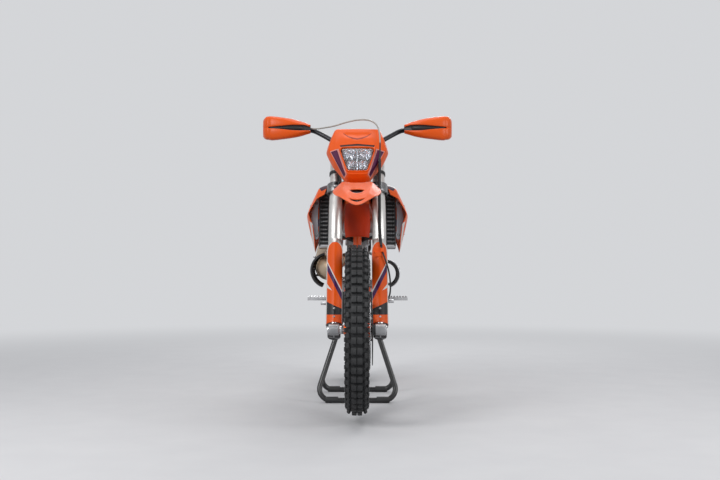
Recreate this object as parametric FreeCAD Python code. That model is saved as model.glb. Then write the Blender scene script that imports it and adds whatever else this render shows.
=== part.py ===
"""Enduro dirt bike on its paddock stand, written as one solid or group of solids for each sub-part.

Millimetres. The bike faces -Y, its left side is +X, and +Z is up. Sub-parts are drawn in the bike's
own frame, whose height 0 is the line under both hanging tyres, and they are lifted onto the stand
when they are written. Pieces that turn with the steering are drawn upright about the steering axis
and then leaned back by the rake.
"""
import FreeCAD, Part
import math
import os

from FreeCAD import Vector

# Whole bike
FRONT_CENTRE = 666.0        # front axle ahead of the middle
REAR_CENTRE = 816.0         # rear axle behind the middle
FRONT_OVERHANG = 420.0      # fender tip ahead of the front axle
REAR_OVERHANG = 325.0       # tail behind the rear axle
LIFT = 30.0                 # gap under the tyres on the stand

# Wheels: radius over the lugs, width over the lugs, rim seat radius, width between flanges
FRONT_TYRE_R = 350.0
FRONT_TYRE_W = 96.0
FRONT_SEAT_R = 267.0
FRONT_RIM_W = 41.0
REAR_TYRE_R = 340.0
REAR_TYRE_W = 134.0
REAR_SEAT_R = 229.0
REAR_RIM_W = 55.0
FLANGE_H = 12.0
FLANGE_T = 3.5
RIM_DEPTH = 17.0
SPOKES = 36
FRONT_AXLE_R = 13.0
FRONT_AXLE_BORE_R = 10.5
REAR_AXLE_R = 12.5
REAR_AXLE_BORE_R = 8.0

# Steering and fork, in the fork's frame
RAKE = 26.5
CLAMP_OFFSET = 22.0         # fork tubes ahead of the steering axis
AXLE_LEAD = 35.0            # axle ahead of the fork tubes
FORK_X = 96.0
FORK_OUTER_R = 30.0
FORK_TOP_R = 27.0
FORK_INNER_R = 24.0
FORK_OUTER_BOTTOM = 388.0   # heights along the steering axis, from the front axle
FORK_TOP = 905.0
LOWER_CLAMP_BOTTOM = 668.0
LOWER_CLAMP_T = 44.0
UPPER_CLAMP_BOTTOM = 872.0
UPPER_CLAMP_T = 28.0
STEM_R = 15.0
HEAD_R = 28.0
BAR_R = 11.0
BAR_CENTRE_R = 14.3
BAR_AT = 945.0
BAR_AHEAD = 18.0
BAR_END_X = 403.0
GRIP_R = 16.5
GRIP_LENGTH = 128.0
GUARD_GAP = 3.0
MASK_BACK = 92.0            # mask's rear edge ahead of the steering axis
PROTECTOR_T = 3.0

# Brakes and drive
FRONT_DISC_X = 54.0
FRONT_DISC_R = 130.0
REAR_DISC_X = -72.0
REAR_DISC_R = 110.0
DISC_T = 3.0
PAD_GAP = 2.0
HOSE_R = 3.5
CHAIN_X = 80.0
CHAIN_W = 15.0
CHAIN_H = 14.0
CHAIN_CORE_W = 11.0         # rollers and inner plates, without the outer links
CHAIN_CORE_H = 9.0
CHAIN_PITCH = 15.875
REAR_TEETH = 50
FRONT_TEETH = 13
DRIVE_Y = 166.0
DRIVE_Z = 425.0

# Frame
PIVOT_Y = 241.0
PIVOT_Z = 410.0
RAIL_Z = 386.0
RAIL_R = 13.0
SPAR_R = 15.0
DOWN_TUBE_R = 19.0
FRAME_SIDE_X = 104.0
PLATE_T = 14.0
PIVOT_BOLT_R = 10.0
ARM_IN_X = 92.0
ARM_W = 26.0

# Body
RADIATOR_IN_X = 92.0
RADIATOR_OUT_X = 176.0

# Side stand
STAND_LEAN = 14.0           # how far the leg splays out when it is down
STAND_LEG = 290.0
STAND_PIN_R = 6.0

# Fits
RUNNING_FIT = 0.05          # bore over shaft, on the radius
SEAT_GAP = 0.3
MOVING_GAP = 5.0
SHELL_T = 4.0

# Worked out from the values above
FRONT_AXLE = Vector(0, -FRONT_CENTRE, FRONT_TYRE_R)
REAR_AXLE = Vector(0, REAR_CENTRE, REAR_TYRE_R)
AXIS_UP = Vector(0, math.sin(math.radians(RAKE)), math.cos(math.radians(RAKE)))
AXIS_AHEAD = Vector(0, -math.cos(math.radians(RAKE)), math.sin(math.radians(RAKE)))
AXLE_AHEAD = CLAMP_OFFSET + AXLE_LEAD
STEER_BASE = FRONT_AXLE - AXIS_AHEAD * AXLE_AHEAD
STAND_PIVOT = Vector(FRAME_SIDE_X + 30.0, PIVOT_Y - 36.0, RAIL_Z)
STAND_AXIS = Vector(math.cos(math.radians(STAND_LEAN)), 0, math.sin(math.radians(STAND_LEAN)))
REAR_END = REAR_CENTRE + max(REAR_OVERHANG, REAR_TYRE_R)
CENTRE_SHIFT = (FRONT_CENTRE + FRONT_OVERHANG - REAR_END) / 2.0
X_AXIS = Vector(1, 0, 0)
Z_AXIS = Vector(0, 0, 1)
ORIGIN = Vector(0, 0, 0)


# Small helpers

def block(x0, x1, y0, y1, z0, z1):
    """A box between two corners."""
    return Part.makeBox(x1 - x0, y1 - y0, z1 - z0, Vector(x0, y0, z0))


def rod(start, end, radius):
    """A round bar from one point to another."""
    run = end - start
    return Part.makeCylinder(radius, run.Length, start, run)


def cross_rod(x0, x1, y, z, radius):
    """A round bar across the bike."""
    return Part.makeCylinder(radius, x1 - x0, Vector(x0, y, z), X_AXIS)


def fused(shapes):
    """Several solids joined into one."""
    whole = shapes[0].multiFuse(shapes[1:])
    return whole.removeSplitter()


def mirrored(shape):
    """The same piece on the bike's other side."""
    return shape.mirror(ORIGIN, X_AXIS)


def both_sides(shape):
    """A piece and its mirror image, as two solids."""
    return Part.makeCompound([shape, mirrored(shape)])


def rounded_wire(points, radius, closed=False):
    """Straight runs through the points, joined by tangent arcs of one radius or a list of them."""
    count = len(points)
    radii = radius if isinstance(radius, list) else [radius] * count
    corners = range(count) if closed else range(1, count - 1)
    starts = {}
    ends = {}
    middles = {}
    for index in corners:
        here = points[index]
        back = (points[index - 1] - here).normalize()
        onward = (points[(index + 1) % count] - here).normalize()
        half_angle = back.getAngle(onward) / 2.0
        setback = radii[index] / math.tan(half_angle)
        bisector = (back + onward).normalize()
        starts[index] = here + back * setback
        ends[index] = here + onward * setback
        middles[index] = here + bisector * (radii[index] / math.sin(half_angle) - radii[index])
    edges = []
    spans = count if closed else count - 1
    for index in range(spans):
        following = (index + 1) % count
        start = ends.get(index, points[index])
        end = starts.get(following, points[following])
        if (end - start).Length > 0.001:
            edges.append(Part.LineSegment(start, end).toShape())
        if following in middles:
            arc = Part.Arc(starts[following], middles[following], ends[following])
            edges.append(arc.toShape())
    return Part.Wire(edges)


def bent_rod(points, bend_radius, radius):
    """A round bar swept along straight runs and tangent arcs."""
    path = rounded_wire(points, bend_radius)
    ring = Part.Wire([Part.makeCircle(radius, points[0], points[1] - points[0])])
    return path.makePipeShell([ring], True, False)


def side_plate(outline, x0, x1, radius):
    """A plate with rounded corners, its outline given as (y, z) points."""
    points = [Vector(x0, y, z) for y, z in outline]
    face = Part.Face(rounded_wire(points, radius, True))
    return face.extrude(Vector(x1 - x0, 0, 0))


def polygon(points):
    """A closed wire of straight edges."""
    return Part.makePolygon(points + [points[0]])


def loft(wires):
    """A solid with straight surfaces from each section to the next."""
    return Part.makeLoft(wires, True, True)


def turned(profile):
    """A solid of revolution about the X axis, its profile given as (x, radius) points."""
    wire = polygon([Vector(x, 0, radius) for x, radius in profile])
    return Part.Face(wire).revolve(ORIGIN, X_AXIS, 360)


def moved(shape, offset):
    """A shape moved by a vector."""
    copy = shape.copy()
    copy.translate(offset)
    return copy


def to_fork(shape):
    """Lean a piece drawn upright about the steering axis, and put it in its place."""
    copy = shape.copy()
    copy.rotate(ORIGIN, X_AXIS, -RAKE)
    copy.translate(STEER_BASE)
    return copy


def fork_point(x, ahead, along):
    """The place of a point given in the fork's frame."""
    return STEER_BASE + Vector(x, 0, 0) + AXIS_AHEAD * ahead + AXIS_UP * along


def strip_wire(line, thickness, place):
    """A thin closed section: a line of (u, v) points and the same line set in by the thickness.

    The line runs so that its inner side is on its right, and place turns (u, v) into a point.
    """
    inner = []
    last = len(line) - 1
    for index, (u, v) in enumerate(line):
        before = line[max(index - 1, 0)]
        after = line[min(index + 1, last)]
        du = after[0] - before[0]
        dv = after[1] - before[1]
        size = math.hypot(du, dv)
        inner.append((u + thickness * dv / size, v - thickness * du / size))
    loop = line + inner[::-1]
    return polygon([place(u, v) for u, v in loop])


def shell_along(stations, thickness):
    """A crowned sheet, such as a fender, from rows of y, z, half width and edge drop."""
    wires = []
    last = len(stations) - 1
    for index, (y, z, half, drop) in enumerate(stations):
        before = stations[max(index - 1, 0)]
        after = stations[min(index + 1, last)]
        slope = Vector(0, after[0] - before[0], after[1] - before[1]).normalize()
        up = Vector(0, -slope.z, slope.y)
        centre = Vector(0, y, z)
        line = [(-half, -drop), (-0.86 * half, -0.25 * drop), (-0.38 * half, 0.0)]
        line += [(-u, v) for u, v in line[::-1]]
        wires.append(strip_wire(line, thickness, lambda u, v: centre + X_AXIS * u + up * v))
    return loft(wires)


# Wheels

def flat_faced(outlines):
    """A solid from the closed outlines of all its flat faces."""
    faces = [Part.Face(polygon(outline)) for outline in outlines]
    solid = Part.Solid(Part.Shell(faces))
    if solid.Volume < 0:
        solid.reverse()
    return solid


def tyre(tyre_r, tyre_w, seat_r, rim_w, pitches, lug_h):
    """Knobbly tyre of flat sectors, in which centre lugs and pairs of shoulder lugs take turns."""
    half = tyre_w / 2.0
    floor = tyre_r - lug_h
    step = math.pi / pitches
    bead = rim_w / 2.0 - SEAT_GAP
    seat = (seat_r + SEAT_GAP) / math.cos(step / 2.0)
    lip = seat_r + FLANGE_H + 2.0
    # x and radius from the bead out to the lugs
    side = [(bead, seat), (bead, lip), (0.86 * half, lip + 14), (half - 3, floor - 0.42 * half)]
    shoulder = [(half - 2, floor - 0.30 * half), (0.46 * half, floor - 0.05 * half)]
    shoulder_lug = [(half, floor - 0.30 * half + lug_h), (0.46 * half, floor - 0.05 * half + lug_h)]
    middle = [(0.32 * half, floor)]
    middle_lug = [(0.32 * half, tyre_r)]

    def both(points):
        return points + [(-x, radius) for x, radius in points[::-1]]

    def at(point, turn):
        return Vector(point[0], point[1] * math.cos(turn), point[1] * math.sin(turn))

    low_shoulder = both(side + shoulder + middle + middle_lug)
    high_shoulder = both(side + shoulder[:1] + shoulder_lug + shoulder[1:] + middle)
    left_end = [shoulder[0], shoulder_lug[0], shoulder_lug[1], shoulder[1]]
    lug_ends = [left_end, [(-x, radius) for x, radius in left_end], both(middle + middle_lug)]
    outlines = []
    for index in range(2 * pitches):
        section = high_shoulder if index % 2 else low_shoulder
        start = index * step
        end = start + step
        for here, there in zip(section, section[1:] + section[:1]):
            outlines.append([at(here, start), at(there, start), at(there, end), at(here, end)])
        for lug_end in lug_ends:
            outlines.append([at(point, start) for point in lug_end])
    return flat_faced(outlines)


def rim(seat_r, rim_w):
    """Rim with two flanges and a dropped inner side that the spokes pull on."""
    outer = rim_w / 2.0 + FLANGE_T
    inner = rim_w / 2.0
    top = seat_r + FLANGE_H
    base = seat_r - RIM_DEPTH
    side = seat_r - 5.0
    points = [(-outer, top), (-outer, side), (-0.3 * outer, base)]
    points += [(-x, r) for x, r in points[::-1]]
    points += [(inner, top), (inner, seat_r)]
    points += [(-inner, seat_r), (-inner, top)]
    return turned(points)


def wheel_spokes(flange_r, flange_x, rim_r, spoke_r):
    """Crossed spokes from the hub's flanges to just inside the rim."""
    spokes = []
    for index in range(SPOKES):
        side = 1 if index % 2 else -1
        lean = 1 if index % 4 < 2 else -1
        rim_angle = 2 * math.pi * index / SPOKES
        hub_angle = rim_angle + lean * math.radians(52)
        hub_x = side * (flange_x + lean * 2.5)
        hub = Vector(hub_x, flange_r * math.cos(hub_angle), flange_r * math.sin(hub_angle))
        end = rim_r - 0.8
        tip = Vector(side * 5.0, end * math.cos(rim_angle), end * math.sin(rim_angle))
        spokes.append(rod(hub, tip, spoke_r))
    return spokes


def front_hub():
    """Front hub with its bore, its disc seat and its spokes."""
    bore = FRONT_AXLE_R + RUNNING_FIT
    right = -55.0
    left = FRONT_DISC_X - DISC_T / 2.0
    profile = [(right, bore), (right, 21), (-37, 24), (-35, 40), (-29, 40), (-25, 24)]
    profile += [(25, 24), (29, 40), (35, 40), (40, 30), (left - 5, 42), (left, 42), (left, bore)]
    body = turned(profile)
    spokes = wheel_spokes(36.0, 32.0, FRONT_SEAT_R - RIM_DEPTH, 2.0)
    return fused([body] + spokes)


def rear_hub():
    """Rear hub with its bore, its sprocket and disc seats and its spokes."""
    bore = REAR_AXLE_R + RUNNING_FIT
    right = REAR_DISC_X + DISC_T / 2.0
    left = CHAIN_X - 3.0
    profile = [(right, bore), (right, 40), (right + 6, 40), (-50, 30), (-41, 34), (-39, 46), (-33, 46)]
    profile += [(-28, 34), (30, 34), (34, 46), (40, 46), (42, 38), (56, 44), (left - 8, 58)]
    profile += [(left, 58), (left, bore)]
    body = turned(profile)
    spokes = wheel_spokes(42.0, 36.0, REAR_SEAT_R - RIM_DEPTH, 2.2)
    return fused([body] + spokes)


def disc(radius, x, seat_r, arms):
    """Brake disc: a scalloped ring carried by arms on a small inner ring."""
    start = x - DISC_T / 2.0
    ring = cross_rod(start, start + DISC_T, 0, 0, radius)
    ring = ring.cut(cross_rod(start - 1, start + DISC_T + 1, 0, 0, radius - 30))
    notches = []
    for index in range(2 * arms):
        angle = 2 * math.pi * (index + 0.5) / (2 * arms)
        reach = radius + 9
        y = reach * math.cos(angle)
        z = reach * math.sin(angle)
        notches.append(cross_rod(start - 1, start + DISC_T + 1, y, z, 12))
        angle += math.pi / (2 * arms)
        y = (radius - 12) * math.cos(angle)
        z = (radius - 12) * math.sin(angle)
        notches.append(cross_rod(start - 1, start + DISC_T + 1, y, z, 5))
    ring = ring.cut(Part.makeCompound(notches))
    centre = cross_rod(start, start + DISC_T, 0, 0, seat_r)
    pieces = [ring, centre]
    for index in range(arms):
        arm = block(start, start + DISC_T, -6, 6, seat_r - 8, radius - 22)
        arm.rotate(ORIGIN, X_AXIS, 360.0 * index / arms)
        pieces.append(arm)
    whole = fused(pieces)
    return whole.cut(cross_rod(start - 1, start + DISC_T + 1, 0, 0, seat_r - 14))


def sprocket(teeth, x, width, bore, tip_gap):
    """Chain wheel whose teeth stop short of the chain's rollers."""
    pitch_r = CHAIN_PITCH / (2 * math.sin(math.pi / teeth))
    tip = pitch_r - tip_gap
    points = []
    for index in range(teeth):
        for part, radius in ((0.0, tip), (0.25, tip), (0.5, tip - 6), (0.75, tip - 6)):
            angle = 2 * math.pi * (index + part) / teeth
            points.append(Vector(x, radius * math.cos(angle), radius * math.sin(angle)))
    body = Part.Face(polygon(points)).extrude(Vector(width, 0, 0))
    return body.cut(cross_rod(x - 1, x + width + 1, 0, 0, bore))


def rear_sprocket():
    """Rear chain wheel with six windows, bolted to the hub's left side."""
    width = 6.0
    start = CHAIN_X - width / 2.0
    wheel = sprocket(REAR_TEETH, start, width, 40.0, CHAIN_H / 2.0 + 1.5)
    windows = []
    for index in range(6):
        hole = cross_rod(start - 1, start + width + 1, 0, 82.0, 18.0)
        hole.rotate(ORIGIN, X_AXIS, 60.0 * index)
        windows.append(hole)
    return wheel.cut(Part.makeCompound(windows))


def chain_path(margin):
    """The closed line of the chain round both chain wheels, moved out by a margin."""
    rear_r = CHAIN_PITCH / (2 * math.sin(math.pi / REAR_TEETH)) + margin
    front_r = CHAIN_PITCH / (2 * math.sin(math.pi / FRONT_TEETH)) + margin
    front = Vector(0, DRIVE_Y, DRIVE_Z)
    run = REAR_AXLE - front
    lean = math.acos((rear_r - front_r) / run.Length)
    base = math.atan2(run.z, run.y)
    ends = []
    for centre, radius in ((front, front_r), (REAR_AXLE, rear_r)):
        for sign in (1, -1):
            angle = base + math.pi - sign * lean
            ends.append(centre + Vector(0, radius * math.cos(angle), radius * math.sin(angle)))
    front_far = front - run * (front_r / run.Length)
    rear_far = REAR_AXLE + run * (rear_r / run.Length)
    upper_front, lower_front, upper_rear, lower_rear = ends
    edges = [Part.LineSegment(upper_front, upper_rear).toShape()]
    edges.append(Part.Arc(upper_rear, rear_far, lower_rear).toShape())
    edges.append(Part.LineSegment(lower_rear, lower_front).toShape())
    edges.append(Part.Arc(lower_front, front_far, upper_front).toShape())
    return Part.Wire(edges)


def drive_chain():
    """The chain as one fixed loop: a band of rollers and inner plates under its outer links."""
    band = Part.Face(chain_path(CHAIN_CORE_H / 2.0)).cut(Part.Face(chain_path(-CHAIN_CORE_H / 2.0)))
    start = CHAIN_X - CHAIN_CORE_W / 2.0
    pieces = [moved(band.extrude(Vector(CHAIN_CORE_W, 0, 0)), Vector(start, 0, 0))]
    path = chain_path(0.0)
    pairs = round(path.Length / CHAIN_PITCH / 2.0)
    pins = path.discretize(Number=2 * pairs + 1)
    half_h = CHAIN_H / 2.0 - 1.0
    for pin, next_pin in zip(pins[0::2], pins[1::2]):
        along = (next_pin - pin).normalize()
        up = Vector(0, -along.z, along.y)
        back = pin - along * 3.5
        front = next_pin + along * 3.5
        outline = [back - up * half_h, back + up * half_h, front + up * half_h, front - up * half_h]
        link = Part.Face(polygon(outline)).extrude(Vector(CHAIN_W, 0, 0))
        pieces.append(moved(link, Vector(CHAIN_X - CHAIN_W / 2.0, 0, 0)))
    return fused(pieces)


# Frame and its carriers

def main_frame():
    """Frame: head tube, two spars, down tube, split cradle, pivot plates and cross tubes."""
    head_bottom = LOWER_CLAMP_BOTTOM + LOWER_CLAMP_T + 0.5
    head_top = UPPER_CLAMP_BOTTOM - 0.5
    head = rod(fork_point(0, 0, head_bottom), fork_point(0, 0, head_top), HEAD_R)
    pieces = [head]
    split = Vector(0, -165, 640)
    down_tube = [fork_point(0, 0, head_bottom + 62), Vector(0, -232, 931), split]
    pieces.append(bent_rod(down_tube, 60.0, DOWN_TUBE_R))
    pieces.append(Part.makeSphere(DOWN_TUBE_R, split))
    spar_top = fork_point(0, 0, head_bottom + 55)
    side_x = FRAME_SIDE_X
    plate_in = side_x - 8.0
    for side in (1, -1):
        spar = [(6, -245, spar_top.z - 6), (50, -80, 915), (88, 130, 820), (98, 222, 700)]
        spar.append((side_x, PIVOT_Y, PIVOT_Z + 130))
        points = [Vector(side * x, y, z) for x, y, z in spar]
        pieces.append(bent_rod(points, 60.0, SPAR_R))
        rail = [(4, -166, 636), (50, -138, 500), (60, -95, RAIL_Z), (side_x, 90, RAIL_Z)]
        rail.append((side_x, PIVOT_Y - 9, RAIL_Z))
        points = [Vector(side * x, y, z) for x, y, z in rail]
        pieces.append(bent_rod(points, 45.0, RAIL_R))
        outline = [(200, 372), (285, 372), (292, 440), (262, 580), (214, 580), (200, 470)]
        plate = side_plate(outline, side * plate_in, side * (plate_in + PLATE_T), 12.0)
        pieces.append(plate)
    pieces.append(cross_rod(-60, 60, -95, RAIL_Z, 9.0))
    pieces.append(cross_rod(-side_x, side_x, 106, RAIL_Z, 9.0))
    pieces.append(cross_rod(-92, 92, 190, 752, 10.0))
    bolt_end = plate_in + PLATE_T + 6.0
    pieces.append(cross_rod(-bolt_end, bolt_end, PIVOT_Y, PIVOT_Z, PIVOT_BOLT_R))
    pieces.append(block(side_x, STAND_PIVOT.x - 13, 190, 220, STAND_PIVOT.z - 13, STAND_PIVOT.z + 13))
    pieces.append(rod(STAND_PIVOT - STAND_AXIS * 16, STAND_PIVOT + STAND_AXIS * 10, STAND_PIN_R))
    pieces.append(rod(STAND_PIVOT + STAND_AXIS * 9.5, STAND_PIVOT + STAND_AXIS * 13, STAND_PIN_R + 4))
    whole = fused(pieces)
    low = fork_point(0, 0, head_bottom - 20)
    high = fork_point(0, 0, head_top + 20)
    return whole.cut(rod(low, high, STEM_R + RUNNING_FIT))


def subframe(frame):
    """Rear frame: upper and lower rails, ties and the air box that they carry."""
    pieces = []
    for side in (1, -1):
        upper = [(90, 150, 806), (78, 320, 850), (68, 560, 880), (60, 790, 902)]
        points = [Vector(side * x, y, z) for x, y, z in upper]
        pieces.append(bent_rod(points, 120.0, 10.0))
        lower = [(100, 238, 575), (84, 430, 745), (66, 690, 878)]
        points = [Vector(side * x, y, z) for x, y, z in lower]
        pieces.append(bent_rod(points, 120.0, 9.0))
    pieces.append(cross_rod(-72, 72, 480, 870, 8.0))
    pieces.append(cross_rod(-60, 60, 780, 901, 8.0))
    pieces.append(block(-60, 60, 280, 560, 720, 846))
    pieces.append(block(-76, 76, 330, 350, 780, 852))
    pieces.append(block(-72, 72, 520, 540, 800, 874))
    return fused(pieces).cut(frame)


def swingarm(frame):
    """Swingarm: pivot tube, front arms, bridge and two tapered beams, bored for both bolts."""
    out_x = ARM_IN_X + ARM_W
    tube_end = FRAME_SIDE_X - 8.0 - 0.5
    pieces = [cross_rod(-tube_end, tube_end, PIVOT_Y, PIVOT_Z, 22.0)]
    bridge_y = PIVOT_Y + 62
    pieces.append(block(-out_x, out_x, bridge_y, bridge_y + 46, PIVOT_Z - 32, PIVOT_Z + 28))
    rear = REAR_AXLE
    # beam sections: y, lower z, upper z
    sections = [(bridge_y + 20, PIVOT_Z - 32, PIVOT_Z + 28), (470, 362, 424), (700, 330, 384)]
    sections += [(rear.y + 20, rear.z - 24, rear.z + 24), (rear.y + 48, rear.z - 18, rear.z + 18)]
    for side in (1, -1):
        arm = block(min(60 * side, 94 * side), max(60 * side, 94 * side), PIVOT_Y, bridge_y + 10,
                    PIVOT_Z - 20, PIVOT_Z + 20)
        pieces.append(arm)
        wires = []
        for y, low, high in sections:
            inner = side * ARM_IN_X
            outer = side * out_x
            corners = [(inner, low + 5), (inner, high - 5), (inner + side * 5, high)]
            corners += [(outer - side * 5, high), (outer, high - 5), (outer, low + 5)]
            corners += [(outer - side * 5, low), (inner + side * 5, low)]
            wires.append(polygon([Vector(x, y, z) for x, z in corners]))
        pieces.append(loft(wires))
    pieces.append(block(-34, 8, bridge_y + 8, bridge_y + 40, PIVOT_Z + 20, PIVOT_Z + 62))
    whole = fused(pieces)
    whole = whole.cut(cross_rod(-200, 200, PIVOT_Y, PIVOT_Z, PIVOT_BOLT_R + RUNNING_FIT))
    whole = whole.cut(cross_rod(-200, 200, rear.y, rear.z, REAR_AXLE_R + RUNNING_FIT))
    slot = block(-25, -3, bridge_y, bridge_y + 50, PIVOT_Z + 30, PIVOT_Z + 70)
    return whole.cut(slot).cut(frame)


def rear_axle():
    """Hollow rear axle with its nuts, adjuster blocks and the spacers beside the hub."""
    end = ARM_IN_X + ARM_W
    y = REAR_AXLE.y
    z = REAR_AXLE.z
    left_face = CHAIN_X - 3.0
    right_face = REAR_DISC_X + DISC_T / 2.0
    pieces = [cross_rod(-end - 14, end + 14, y, z, REAR_AXLE_R)]
    for side in (1, -1):
        start = end + SEAT_GAP
        x0, x1 = sorted((side * start, side * (start + 10)))
        pieces.append(cross_rod(x0, x1, y, z, 19.0))
    pieces.append(cross_rod(left_face + 0.5, ARM_IN_X - SEAT_GAP, y, z, 17.0))
    pieces.append(cross_rod(-ARM_IN_X + SEAT_GAP, right_face - 0.5, y, z, 17.0))
    whole = fused(pieces)
    return whole.cut(cross_rod(-300, 300, y, z, REAR_AXLE_BORE_R))


def coil_spring(start, along, length, radius, wire_r, turns):
    """A wound spring of six-sided wire, from one seat ring to the other."""
    across = along.cross(X_AXIS).normalize()
    other = along.cross(across)
    steps = 16
    count = round(turns * steps)
    wires = []
    for index in range(count + 1):
        turn = 2 * math.pi * index / steps
        out = across * math.cos(turn) + other * math.sin(turn)
        centre = start + along * (length * index / count) + out * radius
        ring = []
        for corner in range(6):
            angle = math.pi * corner / 3.0
            ring.append(centre + out * (wire_r * math.cos(angle)) + along * (wire_r * math.sin(angle)))
        wires.append(polygon(ring))
    return loft(wires)


def shock_absorber():
    """Shock: body with its reservoir, seat rings, the wound spring and the eyes at both ends."""
    x = -14.0
    top = Vector(x, 190, 752)
    bottom = Vector(x, PIVOT_Y + 86, PIVOT_Z + 50)
    run = bottom - top
    along = Vector(run).normalize()
    pieces = [rod(top + along * 8, bottom - along * 4, 12.0)]
    pieces.append(rod(top + along * 20, top + along * 100, 24.0))
    pieces.append(rod(top + along * 72, top + along * 84, 38.0))
    pieces.append(rod(bottom - along * 44, bottom - along * 34, 38.0))
    pieces.append(rod(bottom - along * 60, bottom - along * 20, 18.0))
    pieces.append(coil_spring(top + along * 83, along, run.Length - 83 - 43, 31.5, 5.5, 6.5))
    pieces.append(cross_rod(x - 14, x + 14, top.y, top.z, 17.0))
    pieces.append(cross_rod(x - 10.5, x + 10.5, bottom.y, bottom.z, 14.0))
    whole = fused(pieces)
    return whole.cut(cross_rod(x - 20, x + 20, top.y, top.z, 10.0 + RUNNING_FIT))


# Engine

def crankcase(frame):
    """Crankcase as one block with its round gearbox end and sprocket shaft."""
    outline = [(-84, 430), (-66, 402), (110, 402), (196, 412), (206, 470), (160, 530), (50, 566)]
    outline += [(-70, 566), (-88, 500)]
    body = side_plate(outline, -60.0, 58.0, 16.0)
    deck = 566
    seam = [(60 + (y - 60) * 1.05, min(480 + (z - 480) * 1.06, deck)) for y, z in outline]
    flange = side_plate(seam, -5.0, 5.0, 16.0)
    shaft = cross_rod(50, 88, DRIVE_Y, DRIVE_Z, 12.0)
    gear_shaft = cross_rod(50, 120, 84, 424, 7.0)
    return fused([body, flange, shaft, gear_shaft]).cut(frame)


def cylinder():
    """Liquid-cooled cylinder and head on the crankcase, leaning forward, with its two ports."""
    barrel = block(-50, 50, -58, 48, 0, 150)
    barrel = barrel.makeFillet(16.0, [e for e in barrel.Edges if abs(e.BoundBox.ZLength - 150) < 1])
    head = block(-54, 54, -60, 50, 150, 205)
    head = head.makeFillet(20.0, [e for e in head.Edges if abs(e.BoundBox.ZLength - 55) < 1])
    cap = Part.makeCone(42, 30, 20, Vector(0, -5, 205), Z_AXIS)
    plug = Part.makeCylinder(10, 40, Vector(0, -5, 215), Z_AXIS)
    gasket = block(-57, 57, -63, 53, 145, 153)
    gasket = gasket.makeFillet(20.0, [e for e in gasket.Edges if abs(e.BoundBox.ZLength - 8) < 1])
    pieces = [barrel, head, cap, plug, gasket]
    for index in range(6):
        nut = Part.makeCylinder(7.0, 8, Vector(44, -5, 205), Z_AXIS)
        nut.rotate(Vector(0, -5, 0), Z_AXIS, 30.0 + 60.0 * index)
        pieces.append(nut)
    whole = fused(pieces)
    whole.rotate(ORIGIN, X_AXIS, 12.0)
    whole.translate(Vector(0, -10, 578))
    base = block(-50, 50, -70, 45, 566, 640)
    port = rod(Vector(-20, -60, 655), Vector(-28, -108, 655), 25.0)
    intake = rod(Vector(0, 20, 640), Vector(0, 62, 640), 30.0)
    return fused([whole, base, port, intake])


def clutch_cover():
    """Right engine cover: a stepped round clutch cover and the water pump bulge."""
    outline = [(-62, 440), (-40, 420), (120, 420), (165, 470), (150, 540), (40, 556), (-50, 540)]
    base = side_plate(outline, -60.0, -84.0, 18.0)
    clutch = Part.makeCone(62, 54, 26, Vector(-80, 92, 486), -X_AXIS)
    face = Part.makeCone(40, 34, 8, Vector(-106, 92, 486), -X_AXIS)
    pump = Part.makeCylinder(26, 26, Vector(-80, -24, 470), -X_AXIS)
    pieces = [base, clutch, face, pump]
    # y and z of the lugs that the cover's bolts go through
    lugs = [(-50, 532), (40, 552), (146, 534), (158, 474), (116, 424), (34, 424), (-40, 426), (-58, 470)]
    for y, z in lugs:
        pieces.append(cross_rod(-90, -62, y, z, 8.0))
    for index in range(3):
        outlet = Part.makeCylinder(6.0, 12, Vector(-104, -24, 488), -X_AXIS)
        outlet.rotate(Vector(0, -24, 470), X_AXIS, 120.0 * index)
        pieces.append(outlet)
    return fused(pieces)


def ignition_cover():
    """Left engine cover: a round flywheel cover, and the guard over the small chain wheel."""
    cover = Part.makeCone(66, 58, 34, Vector(58, -2, 486), X_AXIS)
    boss = Part.makeCone(40, 34, 10, Vector(92, -2, 486), X_AXIS)
    guard = side_plate([(100, 404), (194, 404), (196, 440), (186, 474), (100, 474)], 92.0, 99.0, 10.0)
    foot = block(58, 99, 60, 118, 446, 462)
    pieces = [cover, boss, guard, foot]
    for index in range(5):
        rib = block(90, 100, -4, 4, 30, 56)
        rib.rotate(ORIGIN, X_AXIS, 72.0 * index)
        pieces.append(moved(rib, Vector(0, -2, 486)))
        lug = cross_rod(58, 76, 0, 62, 8.0)
        lug.rotate(ORIGIN, X_AXIS, 36.0 + 72.0 * index)
        pieces.append(moved(lug, Vector(0, -2, 486)))
    return fused(pieces)


def front_sprocket():
    """Small chain wheel on the gearbox shaft."""
    width = 7.0
    start = CHAIN_X - width / 2.0
    wheel = sprocket(FRONT_TEETH, start, width, 12.0, CHAIN_H / 2.0 + 0.5)
    return moved(wheel, Vector(0, DRIVE_Y, DRIVE_Z))


def expansion_pipe():
    """Two-stroke pipe of welded cones: header, belly, tail and the pipe to the silencer."""
    # centre line x, y, z and radius at each weld
    rows = [(-28, -108.5, 655, 22), (-55, -160, 648, 24), (-98, -202, 625, 36), (-135, -165, 605, 58)]
    rows += [(-142, -70, 628, 58), (-148, 40, 680, 50), (-150, 130, 728, 36), (-146, 210, 760, 26)]
    rows += [(-138, 300, 785, 20), (-130, 420, 800, 19), (-130, 520, 812, 19)]
    pieces = []
    for row, following in zip(rows, rows[1:]):
        start = Vector(*row[:3])
        end = Vector(*following[:3])
        run = end - start
        if abs(row[3] - following[3]) < 0.01:
            pieces.append(Part.makeCylinder(row[3], run.Length, start, run))
        else:
            pieces.append(Part.makeCone(row[3], following[3], run.Length, start, run))
    for x, y, z, radius in rows[1:-1]:
        pieces.append(Part.makeSphere(radius, Vector(x, y, z)))
    return fused(pieces)


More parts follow.
